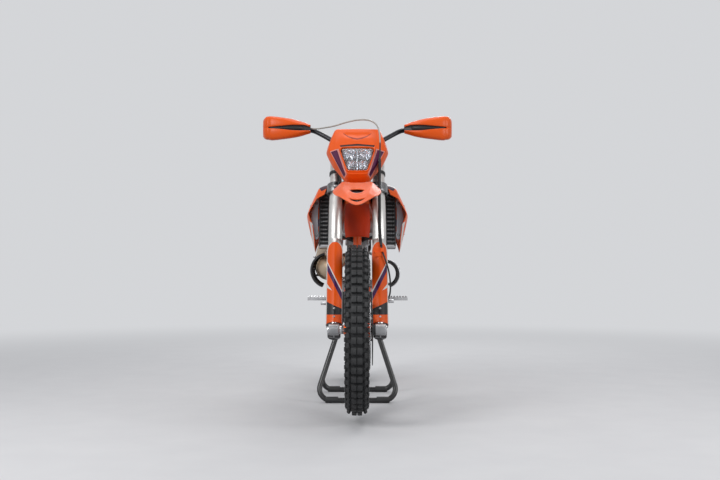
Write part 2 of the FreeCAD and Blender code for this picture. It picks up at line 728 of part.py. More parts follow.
def silencer():
    """Silencer on the right: an oval can with a front cone, an end cap and a tail spout."""
    start = Vector(-130, 520.3, 812)
    end = Vector(-142, 850, 872)
    run = end - start
    along = Vector(run).normalize()
    pieces = [Part.makeCone(26, 44, 50, start, along)]
    pieces.append(Part.makeCylinder(46, 250, start + along * 48, along))
    pieces.append(Part.makeCone(46, 34, 36, start + along * 298, along))
    pieces.append(Part.makeCylinder(16, 30, start + along * 330, along))
    for band in (60.0, 276.0):
        pieces.append(Part.makeCylinder(48, 12, start + along * band, along))
    bracket = block(-120, -76.5, 640, 664, 866, 880)
    pieces.append(bracket)
    return fused(pieces)


def carburettor(barrel, rear_frame):
    """Throttle body behind the cylinder and the boot that leads past the shock to the air box."""
    body = rod(Vector(0, 58, 640), Vector(0, 120, 648), 27.0)
    bowl = block(-24, 24, 70, 114, 600, 640)
    route = [Vector(0, 110, 647), Vector(32, 150, 668), Vector(50, 215, 700), Vector(50, 290, 754)]
    boot = bent_rod(route, 30.0, 18.0)
    return fused([body, bowl, boot]).cut(barrel).cut(rear_frame)


# Body parts

def radiator(frame):
    """Left radiator with its end tanks and the louvres in front of it."""
    pieces = [block(RADIATOR_IN_X + 4, RADIATOR_OUT_X - 4, -17, 17, 0, 268)]
    for tank_z in (-2, 248):
        pieces.append(block(RADIATOR_IN_X, RADIATOR_OUT_X, -20, 20, tank_z, tank_z + 24))
    louvres = 9
    for index in range(louvres):
        z = 30 + 208.0 * index / (louvres - 1)
        pieces.append(block(RADIATOR_IN_X + 2, RADIATOR_OUT_X - 2, -30, -15, z, z + 4))
    pieces.append(block(RADIATOR_IN_X, RADIATOR_IN_X + 6, -31, -12, 10, 260))
    pieces.append(block(RADIATOR_OUT_X - 6, RADIATOR_OUT_X, -31, -12, 10, 260))
    pieces.append(block(10, 100, -8, 8, 56, 72))
    whole = fused(pieces)
    whole.rotate(ORIGIN, X_AXIS, -12.0)
    whole.translate(Vector(0, -208, 692))
    return whole.cut(frame)


def fuel_tank(frame):
    """Tank astride the spars, with a tunnel under it and a round cap."""
    # y, half width low, half width high, z low, z high
    rows = [(-172, 44, 40, 945, 1006), (-110, 92, 70, 900, 1022), (30, 96, 72, 880, 1006)]
    rows += [(150, 84, 60, 860, 958)]
    wires = []
    for y, low_half, high_half, low, high in rows:
        middle = (low + high) / 2.0
        side = [(high_half, high), (low_half, middle + 10), (low_half, low)]
        corners = side + [(-x, z) for x, z in side[::-1]]
        wires.append(polygon([Vector(x, y, z) for x, z in corners]))
    tank = loft(wires)
    cap = Part.makeCylinder(30, 20, Vector(0, -84, 1008), Z_AXIS)
    arches = []
    for y, half, top in ((-260, 32, 1000), (-80, 70, 936), (132, 110, 842), (260, 124, 730)):
        corners = [(-half, 700), (half, 700), (half, top), (-half, top)]
        arches.append(polygon([Vector(x, y, z) for x, z in corners]))
    return fused([tank, cap]).cut(loft(arches)).cut(frame)


def seat(tank, rear_frame):
    """Seat cushion from the tank to the tail, narrow in front and flat behind."""
    # y, half width low, half width high, z low, z high
    rows = [(36, 34, 26, 1006, 1016), (120, 62, 44, 950, 996), (230, 84, 56, 868, 972)]
    rows += [(420, 92, 70, 866, 964), (620, 88, 74, 892, 972), (790, 74, 62, 916, 984)]
    wires = []
    for y, low_half, high_half, low, high in rows:
        shoulder = high - min(16.0, 0.4 * (high - low))
        side = [(high_half, high), (high_half + 0.6 * (low_half - high_half), shoulder), (low_half, low)]
        corners = side + [(-x, z) for x, z in side[::-1]]
        wires.append(polygon([Vector(x, y, z) for x, z in corners]))
    cushion = loft(wires)
    return cushion.cut(moved(tank, Vector(0, 0, SEAT_GAP))).cut(rear_frame)


def radiator_shroud():
    """Left shroud: a folded sheet from in front of the radiator back to the seat."""
    # y, then the (x, z) points of the sheet's outer side from the top inner edge down
    rows = [(-262, [(160, 925), (190, 905), (222, 850), (205, 800)])]
    rows += [(-205, [(132, 986), (178, 970), (235, 842), (196, 674)])]
    rows += [(-80, [(124, 992), (176, 966), (212, 850), (184, 716)])]
    rows += [(60, [(106, 975), (124, 940), (142, 868), (136, 800)])]
    rows += [(190, [(98, 930), (108, 905), (116, 868), (114, 838)])]
    wires = []
    for y, line in rows:
        wires.append(strip_wire(line, SHELL_T, lambda u, v: Vector(u, y, v)))
    upper_boss = cross_rod(RADIATOR_OUT_X + SEAT_GAP, 207, -168, 890, 7.0)
    lower_boss = cross_rod(RADIATOR_OUT_X + SEAT_GAP, 209.5, -190, 760, 7.0)
    return fused([loft(wires), upper_boss, lower_boss])


def side_panel(rows):
    """Left side panel under the seat, from rows of y and the sheet's (x, z) points."""
    wires = []
    for y, line in rows:
        wires.append(strip_wire(line, SHELL_T, lambda u, v: Vector(u, y, v)))
    return loft(wires)


def side_panels(frame, rear_frame, saddle):
    """Both side panels: the right one stands out over the pipe and ends at the silencer."""
    left = [(205, [(106, 866), (118, 832), (122, 780), (120, 700)])]
    left += [(330, [(100, 862), (114, 835), (120, 780), (116, 690)])]
    left += [(480, [(98, 872), (110, 850), (116, 800), (110, 740)])]
    left += [(660, [(94, 896), (100, 884), (104, 860), (102, 838)])]
    right = [(205, [(112, 868), (164, 846), (184, 790), (180, 720)])]
    right += [(330, [(106, 864), (158, 846), (176, 796), (168, 734)])]
    right += [(500, [(98, 876), (144, 862), (160, 830), (156, 798)])]
    left_bosses = [cross_rod(76, 100, 420, 862, 5.0), cross_rod(104, 118, 222, 700, 6.0)]
    right_boss = cross_rod(76, 108, 420, 866, 5.0)
    left_panel = fused([side_panel(left)] + left_bosses).cut(frame).cut(rear_frame).cut(saddle)
    right_panel = mirrored(fused([side_panel(right), right_boss])).cut(rear_frame).cut(saddle)
    return Part.makeCompound([left_panel, right_panel])


def rear_fender(rear_frame):
    """Rear fender from under the seat to the tail."""
    # y, z, half width, edge drop
    rows = [(600, 850, 66, 24), (700, 872, 80, 30), (800, 888, 86, 30), (900, 908, 84, 26)]
    rows += [(1020, 934, 74, 20), (REAR_CENTRE + REAR_OVERHANG, 950, 50, 12)]
    return shell_along(rows, SHELL_T).cut(rear_frame)


def tail_lamp(fender):
    """Tail lamp housing seated under the end of the rear fender."""
    tail = REAR_CENTRE + REAR_OVERHANG
    housing = block(-34, 34, tail - 46, tail - 8, 904, 960).cut(fender)
    return min(housing.Solids, key=lambda solid: solid.CenterOfMass.z)


def skid_plate():
    """Plate under the cradle with its front turned up."""
    flat_z = RAIL_Z - RAIL_R - SEAT_GAP - 5
    line = [(200, flat_z), (-104, flat_z), (-128, 388), (-170, 492)]
    wire = strip_wire(line, 5.0, lambda u, v: Vector(-72, u, v))
    plate = Part.Face(wire).extrude(Vector(144, 0, 0))
    return plate


def footpegs():
    """Left footpeg: bracket, pin and a toothed tread."""
    out = FRAME_SIDE_X + 6.0
    bracket = block(out + SEAT_GAP, out + 26, 205, 243, 436, 458)
    tip = 250.0
    pieces = [bracket, block(out + 24, tip, 221, 227, 440, 452), block(tip - 6, tip, 200, 248, 440, 456)]
    teeth = 8
    pitch = (tip - out - 24) / teeth
    comb = [Vector(tip, 0, 440), Vector(out + 24, 0, 440)]
    for index in range(teeth):
        x = out + 24 + pitch * index
        comb += [Vector(x, 0, 452), Vector(x + 0.35 * pitch, 0, 462), Vector(x + 0.65 * pitch, 0, 462)]
    comb.append(Vector(tip, 0, 452))
    rail = Part.Face(polygon(comb)).extrude(Vector(0, 6, 0))
    pieces += [moved(rail, Vector(0, 200, 0)), moved(rail, Vector(0, 242, 0))]
    for index in range(4):
        x = out + 30 + 27.0 * index
        pieces.append(block(x, x + 5, 204, 244, 440, 454))
    return fused(pieces)


def foot_levers():
    """Gear lever on the left and brake pedal on the right, as two solids."""
    gear = bent_rod([Vector(128, 84, 424), Vector(134, 20, 430), Vector(138, -66, 446)], 40.0, 6.0)
    toe = cross_rod(132, 172, -66, 446, 9.0)
    boss = cross_rod(120.3, 136, 84, 424, 12.0)
    gear_lever = fused([gear, toe, boss])
    pedal = bent_rod([Vector(-128, 215, RAIL_Z), Vector(-133, 140, 398), Vector(-146, 50, 430)], 60.0, 7.0)
    pad = block(-178, -140, 30, 66, 424, 438)
    pin = cross_rod(-137, -FRAME_SIDE_X - RAIL_R - SEAT_GAP, 215, RAIL_Z, 11.0)
    brake_pedal = fused([pedal, pad, pin])
    return Part.makeCompound([gear_lever, brake_pedal])


def paddock_stand():
    """Black tube stand: two splayed loops under a flat top with rubber pads."""
    tube_r = 12.5
    top = RAIL_Z - RAIL_R - SEAT_GAP - 5 - SEAT_GAP
    floor = -LIFT + tube_r
    plate = block(-85, 85, -5, 215, top - 8, top)
    pieces = [plate]
    # foot y, top y
    for foot_y, top_y in ((-99, 30), (311, 180)):
        points = [Vector(-74, top_y, top - 6), Vector(-198, foot_y, floor), Vector(198, foot_y, floor)]
        points.append(Vector(74, top_y, top - 6))
        pieces.append(bent_rod(points, 55.0, tube_r))
    for side in (1, -1):
        pieces.append(rod(Vector(side * 74, 20, top - 20), Vector(side * 74, 190, top - 20), 10.0))
    return fused(pieces)


def side_stand():
    """Side stand folded back along the swingarm: boss, leg and foot."""
    pivot = STAND_PIVOT
    boss = Part.makeCylinder(14, 18, pivot - STAND_AXIS * 9, STAND_AXIS)
    tip = pivot + Vector(3, STAND_LEG - 24, 8)
    leg = rod(pivot, tip, 8.0)
    foot = block(tip.x - 11, tip.x + 13, tip.y - 3, tip.y + 24, tip.z - 18, tip.z + 20)
    bolt = rod(pivot - STAND_AXIS * 30, pivot + STAND_AXIS * 30, STAND_PIN_R + RUNNING_FIT)
    return fused([boss, leg, foot]).cut(bolt)


# Steering

def lower_clamp():
    """Lower fork clamp with the steering stem."""
    base = LOWER_CLAMP_BOTTOM
    plate = clamp_plate(base, LOWER_CLAMP_T, FORK_OUTER_R, 40.0)
    stem_top = UPPER_CLAMP_BOTTOM + UPPER_CLAMP_T
    stem = Part.makeCylinder(STEM_R, stem_top - base, Vector(0, 0, base), Z_AXIS)
    return to_fork(fused([plate, stem]))


def clamp_plate(base, thickness, tube_r, ring_r):
    """A fork clamp drawn upright, with its two tube bores open."""
    front = -CLAMP_OFFSET - 30
    outline = [(-FORK_X, front), (FORK_X, front), (FORK_X, 8), (26, 26), (-26, 26), (-FORK_X, 8)]
    points = [Vector(x, y, base) for x, y in outline]
    web = Part.Face(rounded_wire(points, 6.0, True)).extrude(Vector(0, 0, thickness))
    pieces = [web]
    bores = []
    for side in (1, -1):
        centre = Vector(side * FORK_X, -CLAMP_OFFSET, base)
        pieces.append(Part.makeCylinder(ring_r, thickness, centre, Z_AXIS))
        bores.append(Part.makeCylinder(tube_r, thickness + 2, centre - Z_AXIS, Z_AXIS))
        x = side * (FORK_X - 12)
        lug_y = -CLAMP_OFFSET - ring_r + 3
        pieces.append(cross_rod(x - 17, x + 17, lug_y, base + thickness / 2.0, 8.0))
        slot_end = -CLAMP_OFFSET - tube_r + 6
        bores.append(block(x - 1.2, x + 1.2, lug_y - 11, slot_end, base - 1, base + thickness + 1))
    pocket = block(-46, 46, -CLAMP_OFFSET - 31, -CLAMP_OFFSET - 6, base + 10, base + thickness + 1)
    return fused(pieces).cut(Part.makeCompound(bores)).cut(pocket)


def upper_clamp():
    """Upper fork clamp with the two handlebar clamps on it."""
    base = UPPER_CLAMP_BOTTOM
    plate = clamp_plate(base, UPPER_CLAMP_T, FORK_TOP_R, 37.0)
    top = base + UPPER_CLAMP_T
    pieces = [plate]
    for side in (1, -1):
        x0, x1 = sorted((side * 32, side * 60))
        pieces.append(block(x0, x1, -BAR_AHEAD - 19, -BAR_AHEAD + 19, top - 12, BAR_AT + 22))
    whole = fused(pieces)
    bar = cross_rod(-100, 100, -BAR_AHEAD, BAR_AT, BAR_CENTRE_R)
    stem = Part.makeCylinder(STEM_R, 100, Vector(0, 0, base - 20), Z_AXIS)
    return to_fork(whole.cut(bar).cut(stem))


def fork_outer_tube():
    """Left upper fork tube with its cap."""
    base = Vector(FORK_X, -CLAMP_OFFSET, FORK_OUTER_BOTTOM)
    step = LOWER_CLAMP_BOTTOM + LOWER_CLAMP_T + 30
    tube = Part.makeCylinder(FORK_OUTER_R, step - FORK_OUTER_BOTTOM, base, Z_AXIS)
    upper = Vector(FORK_X, -CLAMP_OFFSET, step)
    top = Part.makeCylinder(FORK_TOP_R, FORK_TOP - step, upper, Z_AXIS)
    cap = Part.makeCylinder(18, 10, Vector(FORK_X, -CLAMP_OFFSET, FORK_TOP), Z_AXIS)
    wiper = Part.makeCylinder(FORK_OUTER_R + 1.5, 12, base, Z_AXIS)
    bore = Part.makeCylinder(FORK_INNER_R + RUNNING_FIT, 101, base - Z_AXIS, Z_AXIS)
    return to_fork(fused([tube, top, cap, wiper]).cut(bore))


def fork_leg():
    """Left inner tube and the foot that carries the axle."""
    inner_base = Vector(FORK_X, -CLAMP_OFFSET, 20)
    inner = Part.makeCylinder(FORK_INNER_R, FORK_OUTER_BOTTOM + 70, inner_base, Z_AXIS)
    sleeve = Part.makeCylinder(27.5, 96, Vector(FORK_X, -CLAMP_OFFSET, -22), Z_AXIS)
    lug = cross_rod(FORK_X - 22, FORK_X + 22, -AXLE_AHEAD, 0, 24.0)
    web = block(FORK_X - 18, FORK_X + 18, -AXLE_AHEAD, -CLAMP_OFFSET, -20, 30)
    whole = fused([inner, sleeve, lug, web])
    whole = whole.cut(block(FORK_X - 40, FORK_X - 22, -120, 60, -60, 90))
    whole = whole.cut(block(FORK_X + 22, FORK_X + 40, -120, 60, -60, 90))
    bore = cross_rod(0, 200, -AXLE_AHEAD, 0, FRONT_AXLE_R + RUNNING_FIT)
    return to_fork(whole.cut(bore))


def front_axle():
    """Hollow front axle with its nut, and the spacers beside the hub."""
    end = FORK_X + 22
    y = FRONT_AXLE.y
    z = FRONT_AXLE.z
    hub_left = FRONT_DISC_X + DISC_T / 2.0
    pieces = [cross_rod(-end - 6, end + 6, y, z, FRONT_AXLE_R)]
    pieces.append(cross_rod(end + SEAT_GAP, end + 6, y, z, 17.0))
    pieces.append(cross_rod(hub_left + 0.5, FORK_X - 22 - SEAT_GAP, y, z, 18.0))
    pieces.append(cross_rod(-FORK_X + 22 + SEAT_GAP, -55.5, y, z, 18.0))
    whole = fused(pieces)
    return whole.cut(cross_rod(-300, 300, y, z, FRONT_AXLE_BORE_R))


def fork_protector():
    """Left fork protector: a half round guard with wings, in front of the lower leg."""
    inner_r = FORK_OUTER_R + GUARD_GAP
    outer_r = inner_r + PROTECTOR_T
    low = 30.0
    high = 412.0
    centre = Vector(FORK_X, -CLAMP_OFFSET, low)
    guard = Part.makeCylinder(outer_r, high - low, centre, Z_AXIS)
    wing = block(FORK_X + inner_r, FORK_X + outer_r, -CLAMP_OFFSET, -CLAMP_OFFSET + 30, low, high - 60)
    guard = fused([guard, wing])
    guard = guard.cut(Part.makeCylinder(inner_r, high, centre - Z_AXIS, Z_AXIS))
    guard = guard.cut(block(0, FORK_X + inner_r, -CLAMP_OFFSET + 4, 60, 0, high + 1))
    guard = guard.cut(block(FORK_X, FORK_X + 60, -CLAMP_OFFSET + 30, 60, 0, high + 1))
    disc_side = FRONT_DISC_X + DISC_T / 2.0 + MOVING_GAP + 0.5
    guard = guard.cut(block(0, disc_side, -200, 60, 0, high + 1))
    foot = block(FORK_X - 14, FORK_X + 14, -CLAMP_OFFSET - inner_r - 1, -CLAMP_OFFSET - 27.8, 46, 70)
    guard = fused([guard, foot])
    return to_fork(guard)


def fork_protectors():
    """Both fork protectors; the left one carries the clip of the brake hose."""
    clip = to_fork(block(FORK_X, FORK_X + 20, -76, -CLAMP_OFFSET - 33, 354, 372))
    clip = clip.cut(brake_hose(HOSE_R + SEAT_GAP))
    clip = clip.cut(to_fork(Part.makeCylinder(33, 400, Vector(FORK_X, -CLAMP_OFFSET, 30), Z_AXIS)))
    guard = fork_protector()
    return Part.makeCompound([fused([guard, clip]), mirrored(guard)])


def front_fender():
    """Front fender: beak, narrow neck between the fork tubes and a rear flap."""
    tip_y = -FRONT_CENTRE - FRONT_OVERHANG
    # y, z, half width, edge drop
    rows = [(tip_y, 843, 6, 1), (tip_y + 36, 858, 32, 3), (tip_y + 101, 888, 67, 9)]
    rows += [(tip_y + 166, 908, 88, 17)]
    rows += [(-800, 932, 98, 24), (-620, 956, 88, 24), (-480, 966, 62, 18), (-400, 956, 54, 12)]
    rows += [(-366, 938, 54, 8), (-300, 900, 54, 8), (-274, 850, 58, 10), (-262, 790, 60, 12)]
    rows += [(-262, 745, 54, 12)]
    vent = block(-26, 26, -590, -535, 900, 1000)
    vent = vent.makeFillet(12.0, [e for e in vent.Edges if abs(e.BoundBox.ZLength - 100) < 1])
    sheet = shell_along(rows, SHELL_T).cut(vent)
    boss = block(-28, 28, -44, 4, 652, LOWER_CLAMP_BOTTOM - SEAT_GAP)
    return fused([sheet, to_fork(boss)])


def headlight_mask():
    """Headlight mask: a shell round the lamp, with straps back to the fork tubes."""
    # x, height along the axis; the right half of the outline
    half = [(106, 955), (126, 900), (141, 838), (108, 762), (74, 716), (54, 686)]

    def ring(inset, ahead):
        scaled = []
        for x, along in half:
            mid = 815.0
            factor_x = (x - inset) / x
            scaled.append((x * factor_x, mid + (along - mid) * (1 - inset / 150.0)))
        loop = scaled + [(-x, along) for x, along in scaled[::-1]]
        return polygon([Vector(x, -ahead, along) for x, along in loop])

    outer = loft([ring(0, MASK_BACK), ring(10, 132), ring(34, 150)])
    inner = loft([ring(SHELL_T, MASK_BACK - 1), ring(SHELL_T + 10, 128), ring(SHELL_T + 34, 146)])
    shell = outer.cut(inner)
    window = [Vector(x, -60, along) for x, along in ((72, 832), (40, 716), (-40, 716), (-72, 832))]
    hole = Part.Face(rounded_wire(window, 10.0, True)).extrude(Vector(0, -140, 0))
    shell = shell.cut(hole)
    pieces = [shell]
    tubes = []
    for side in (1, -1):
        for along in (765, 852):
            x0, x1 = sorted((side * 62, side * 82))
            pieces.append(block(x0, x1, -MASK_BACK, -CLAMP_OFFSET, along, along + 14))
            pieces.append(block(x0, x1, -150, -MASK_BACK + 1, along, along + 14).common(outer))
        centre = Vector(side * FORK_X, -CLAMP_OFFSET, LOWER_CLAMP_BOTTOM)
        tubes.append(Part.makeCylinder(FORK_TOP_R + SEAT_GAP, 300, centre, Z_AXIS))
    return to_fork(fused(pieces).cut(Part.makeCompound(tubes)))


def headlamp():
    """Faceted lamp unit that fills the mask's window."""
    def section(scale, ahead):
        points = []
        for x, along in ((71.4, 831), (39.6, 717), (-39.6, 717), (-71.4, 831)):
            points.append(Vector(x * scale, -ahead, 780 + (along - 780) * scale))
        return polygon(points)
    return to_fork(loft([section(0.7, 70), section(0.94, 100), section(0.94, 147), section(0.84, 156)]))


def bar_points():
    """The handlebar's line from its right end to its left end, in the fork's frame."""
    half = [(BAR_END_X, 20, 1036), (205, -8, 1022), (96, -BAR_AHEAD, BAR_AT)]
    right = [Vector(-x, y, z) for x, y, z in half]
    left = [Vector(x, y, z) for x, y, z in half[::-1]]
    return right + left


def handlebar():
    """Handlebar of bent tube, thicker where it is clamped."""
    tube = bent_rod(bar_points(), 62.0, BAR_R)
    centre = cross_rod(-70, 70, -BAR_AHEAD, BAR_AT, BAR_CENTRE_R)
    return to_fork(fused([tube, centre]))


def bar_span(start, length, radius):
    """A piece round the straight end of the handlebar, measured in from its left end."""
    points = bar_points()
    end = points[-1]
    inward = (points[-2] - end).normalize()
    return rod(end + inward * start, end + inward * (start + length), radius)


def grip():
    """Left grip with its inner collar."""
    sleeve = bar_span(-2, GRIP_LENGTH, GRIP_R)
    collar = bar_span(GRIP_LENGTH - 7, 5, 22.0)
    bore = bar_span(-0.3, GRIP_LENGTH + 10, BAR_R + SEAT_GAP)
    return to_fork(fused([sleeve, collar]).cut(bore))


def control():
    """Left lever with its clamp and fluid reservoir."""
    clamp = bar_span(131, 20, 17.0)
    centre = clamp.CenterOfMass
    tank = block(centre.x - 9, centre.x + 15, centre.y - 40, centre.y - 12, centre.z - 22, centre.z + 2)
    lever = [centre + Vector(0, -30, -10), centre + Vector(34, -46, -26), centre + Vector(136, -36, -20)]
    blade = bent_rod(lever, 40.0, 6.0)
    ball = Part.makeSphere(8.0, lever[-1])
    whole = fused([clamp, tank, blade, ball])
    return to_fork(whole.cut(bar_span(100, 80, BAR_R)))


def handguard():
    """Left handguard: a curved blade with its air slot, and the arm that holds it to the bar."""
    # x, then front y, low z, high z
    rows = [(214, -222, 1222, 1266), (300, -250, 1200, 1288), (392, -244, 1189, 1301)]
    rows += [(424, -222, 1200, 1303), (438, -196, 1226, 1284)]
    wires = []
    for x, front, low, high in rows:
        line = [(front + 30, low), (front + 4, low + 12), (front, high - 22), (front + 26, high)]
        wires.append(strip_wire(line, 5.0, lambda u, v: Vector(x, u, v)))
    slot = [(262, 1234), (300, 1233), (408, 1244), (408, 1249), (300, 1258), (262, 1258)]
    slot_face = Part.Face(polygon([Vector(x, -262, z) for x, z in slot]))
    blade = loft(wires).cut(slot_face.extrude(Vector(0, 40, 0)))
    clamp = to_fork(bar_span(155, 18, 17.0))
    centre = clamp.CenterOfMass
    arm = rod(centre + Vector(0, -10, 0), Vector(centre.x - 2, -230, 1236), 8.0)
    whole = fused([blade, clamp, arm])
    return whole.cut(to_fork(bar_span(145, 35, BAR_R)))


def instrument():
    """Small instrument ahead of the handlebar, on a stalk from the upper clamp."""
    case = block(-40, 40, -76, -52, 925, 985)
    case = case.makeFillet(6.0, case.Edges)
    top = UPPER_CLAMP_BOTTOM + UPPER_CLAMP_T + SEAT_GAP
    stalk = block(-14, 14, -60, -52, top, 940)
    foot = block(-14, 14, -60, -22, top, top + 6)
    return to_fork(fused([case, stalk, foot]))


def caliper(disc_x, disc_r, half_x, turn):
    """A caliper astride a disc's edge, turned about the axle, drawn about the wheel's centre."""
    body = block(disc_x - half_x, disc_x + half_x, -40, 40, disc_r - 44, disc_r + 14)
    body = body.makeFillet(9.0, [e for e in body.Edges if abs(e.BoundBox.XLength - 2 * half_x) < 1])
    slot = DISC_T / 2.0 + PAD_GAP
    gap = block(disc_x - slot, disc_x + slot, -60, 60, disc_r - 60, disc_r + PAD_GAP)
    whole = body.cut(gap)
    pistons = []
    for y in (-16, 16):
        outer_face = disc_x + math.copysign(half_x - 1, disc_x)
        end = outer_face + math.copysign(3.0, disc_x)
        x0, x1 = sorted((outer_face, end))
        pistons.append(cross_rod(x0, x1, y, disc_r - 18, 13.0))
    whole = fused([whole] + pistons)
    whole.rotate(ORIGIN, X_AXIS, turn)
    return whole


def front_caliper():
    """Front caliper astride the disc, behind the left fork leg, with its lug on the leg."""
    body = caliper(FRONT_DISC_X, FRONT_DISC_R, 21.0, -58.0)
    body.translate(Vector(0, -AXLE_AHEAD, 0))
    lug = block(FRONT_DISC_X + 12, FORK_X - 8, -8, 22, 44, 84)
    leg = Part.makeCylinder(27.5 + SEAT_GAP, 400, Vector(FORK_X, -CLAMP_OFFSET, -30), Z_AXIS)
    return to_fork(fused([body, lug]).cut(leg))


def disc_guard():
    """Guard plate outside the front disc, with a collar that seats on the fork foot."""
    inner = FRONT_DISC_X + DISC_T / 2.0 + MOVING_GAP + 0.5
    outer = inner + 3.5
    plate = cross_rod(inner, outer, -AXLE_AHEAD, 0, 148.0)
    plate = plate.cut(block(inner, outer, -20, 400, -400, 400))
    plate = plate.cut(block(inner, outer, -400, 400, 26, 400))
    collar = cross_rod(inner, FORK_X - 22 - SEAT_GAP, -AXLE_AHEAD, 0, 23.5)
    whole = fused([plate, collar])
    return to_fork(whole.cut(cross_rod(inner - 1, FORK_X, -AXLE_AHEAD, 0, 18.5)))


def brake_hose(radius, report=False):
    """Front brake hose from the right lever over the mask, down the left fork leg to the caliper."""
    # x, ahead and along in the fork's frame
    route = [(-261, 29.3, 1016), (-253, 38, 1021), (-224, 34, 1015), (-186, 46, 1004), (-148, 70, 995)]
    route += [(-104, 90, 990)]
    route += [(-52, 106, 1000), (4, 124, 1002), (54, 140, 990), (88, 152, 958), (101, 158, 905)]
    route += [(101, 159, 830), (99, 148, 765), (98, 112, 708), (97, 82, 650), (98, 69, 580)]
    route += [(96, 66, 500), (99, 66, 425), (106, 68, 362), (124, 60, 312), (138, 40, 268)]
    route += [(143, 10, 222), (140, -14, 186), (122, -29, 158), (94, -30, 138), (75, -24, 120)]
    route += [(67, -28.5, 102)]
    points = [Vector(x, -ahead, along) for x, ahead, along in route]
    radii = [0.0]
    for before, here, after in zip(points, points[1:], points[2:]):
        shorter = min((before - here).Length, (after - here).Length)
        half_turn = (here - before).getAngle(after - here) / 2.0
        radii.append(0.45 * shorter / math.tan(half_turn))
    radii.append(0.0)
    if report:
        length = rounded_wire(points, radii).Length
        print("brake hose", round(length), "mm long, radii", [round(r) for r in radii[1:-1]])
    return to_fork(bent_rod(points, radii, radius))


def rear_caliper():
    """Rear caliper astride the disc, on a hanger that the axle's spacer carries."""
    body = caliper(REAR_DISC_X, REAR_DISC_R, 16.0, 62.0)
    hanger = block(REAR_DISC_X - 17, REAR_DISC_X - 8, -14, 14, 10, REAR_DISC_R - 20)
    hanger.rotate(ORIGIN, X_AXIS, 62.0)
    eye = cross_rod(REAR_DISC_X - 17, REAR_DISC_X - 8, 0, 0, 26.0)
    whole = fused([body, hanger, eye]).cut(cross_rod(-200, 0, 0, 0, 17.0 + SEAT_GAP))
    return moved(whole, REAR_AXLE)


# The whole bike, one file for each sub-part


def build():
    """Make every sub-part, each under its node's name."""
    nodes = {}
    frame = main_frame()
    nodes["main_frame"] = frame
    nodes["subframe"] = subframe(frame)
    nodes["swingarm"] = swingarm(frame)
    nodes["rear_axle"] = rear_axle()
    nodes["shock_absorber"] = shock_absorber().cut(nodes["swingarm"])
    nodes["crankcase"] = crankcase(frame)
    nodes["cylinder"] = cylinder()
    nodes["clutch_cover"] = clutch_cover()
    nodes["ignition_cover"] = ignition_cover()
    nodes["front_sprocket"] = front_sprocket()
    nodes["drive_chain"] = drive_chain()
    nodes["expansion_pipe"] = expansion_pipe().cut(nodes["cylinder"])
    nodes["silencer"] = silencer().cut(nodes["expansion_pipe"])
    nodes["carburettor"] = carburettor(nodes["cylinder"], nodes["subframe"])
    nodes["radiators"] = both_sides(radiator(frame))
    nodes["fuel_tank"] = fuel_tank(frame)
    nodes["seat"] = seat(nodes["fuel_tank"], nodes["subframe"])
    nodes["radiator_shrouds"] = both_sides(radiator_shroud())
    nodes["side_panels"] = side_panels(frame, nodes["subframe"], nodes["seat"])
    nodes["rear_fender"] = rear_fender(nodes["subframe"])
    nodes["tail_lamp"] = tail_lamp(nodes["rear_fender"])
    nodes["skid_plate"] = skid_plate()
    nodes["footpegs"] = both_sides(footpegs())
    nodes["foot_levers"] = foot_levers()
    nodes["rear_caliper"] = rear_caliper()
    nodes["paddock_stand"] = paddock_stand()
    nodes["side_stand"] = side_stand()
    hose_room = brake_hose(HOSE_R + SEAT_GAP)
    nodes["lower_clamp"] = lower_clamp()
    nodes["upper_clamp"] = upper_clamp()
    nodes["fork_outer_tubes"] = both_sides(fork_outer_tube())
    nodes["fork_legs"] = both_sides(fork_leg())
    nodes["front_axle"] = front_axle()
    nodes["fork_protectors"] = fork_protectors()
    nodes["front_fender"] = front_fender()
    nodes["headlight_mask"] = headlight_mask()
    nodes["headlamp"] = headlamp()
    nodes["handlebar"] = handlebar()
    nodes["grips"] = both_sides(grip())
    nodes["control_levers"] = both_sides(control()).cut(hose_room)
    nodes["handguards"] = both_sides(handguard())
    nodes["instrument"] = instrument()
    nodes["brake_hose"] = brake_hose(HOSE_R, True)
    nodes["front_caliper"] = front_caliper().cut(hose_room)
    nodes["disc_guard"] = disc_guard()
    front = FRONT_AXLE
    front_tyre = tyre(FRONT_TYRE_R, FRONT_TYRE_W, FRONT_SEAT_R, FRONT_RIM_W, 28, 11.0)
    nodes["front_tyre"] = moved(front_tyre, front)
    nodes["front_rim"] = moved(rim(FRONT_SEAT_R, FRONT_RIM_W), front)
    nodes["front_hub"] = moved(front_hub(), front)
    nodes["front_disc"] = moved(disc(FRONT_DISC_R, FRONT_DISC_X, 46.0, 6), front)
    rear = REAR_AXLE
    rear_tyre = tyre(REAR_TYRE_R, REAR_TYRE_W, REAR_SEAT_R, REAR_RIM_W, 24, 14.0)
    nodes["rear_tyre"] = moved(rear_tyre, rear)
    nodes["rear_rim"] = moved(rim(REAR_SEAT_R, REAR_RIM_W), rear)
    nodes["rear_hub"] = moved(rear_hub(), rear)
    nodes["rear_disc"] = moved(disc(REAR_DISC_R, REAR_DISC_X, 46.0, 6), rear)
    nodes["rear_sprocket"] = moved(rear_sprocket(), rear)
    return nodes


os.makedirs("parts", exist_ok=True)
for name, shape in build().items():
    placed = moved(shape, Vector(0, CENTRE_SHIFT, LIFT))
    placed.exportStep("parts/" + name + ".step")
    print(name, len(placed.Solids), "solids, valid", placed.isValid(), "volume", round(placed.Volume))
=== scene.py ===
# %% [markdown]
# # Enduro dirt bike on a paddock stand
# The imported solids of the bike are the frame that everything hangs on. This lesson dresses them: thin
# moulded shells, knobbly tyres, spokes, hoses and finishes go where the solids already are, so nothing has
# to be fitted by eye. The bike faces -Y, its left side is +X, and the floor is z = 0.

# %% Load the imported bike
import math

import bmesh
import bpy
from mathutils import Matrix, Vector, bvhtree


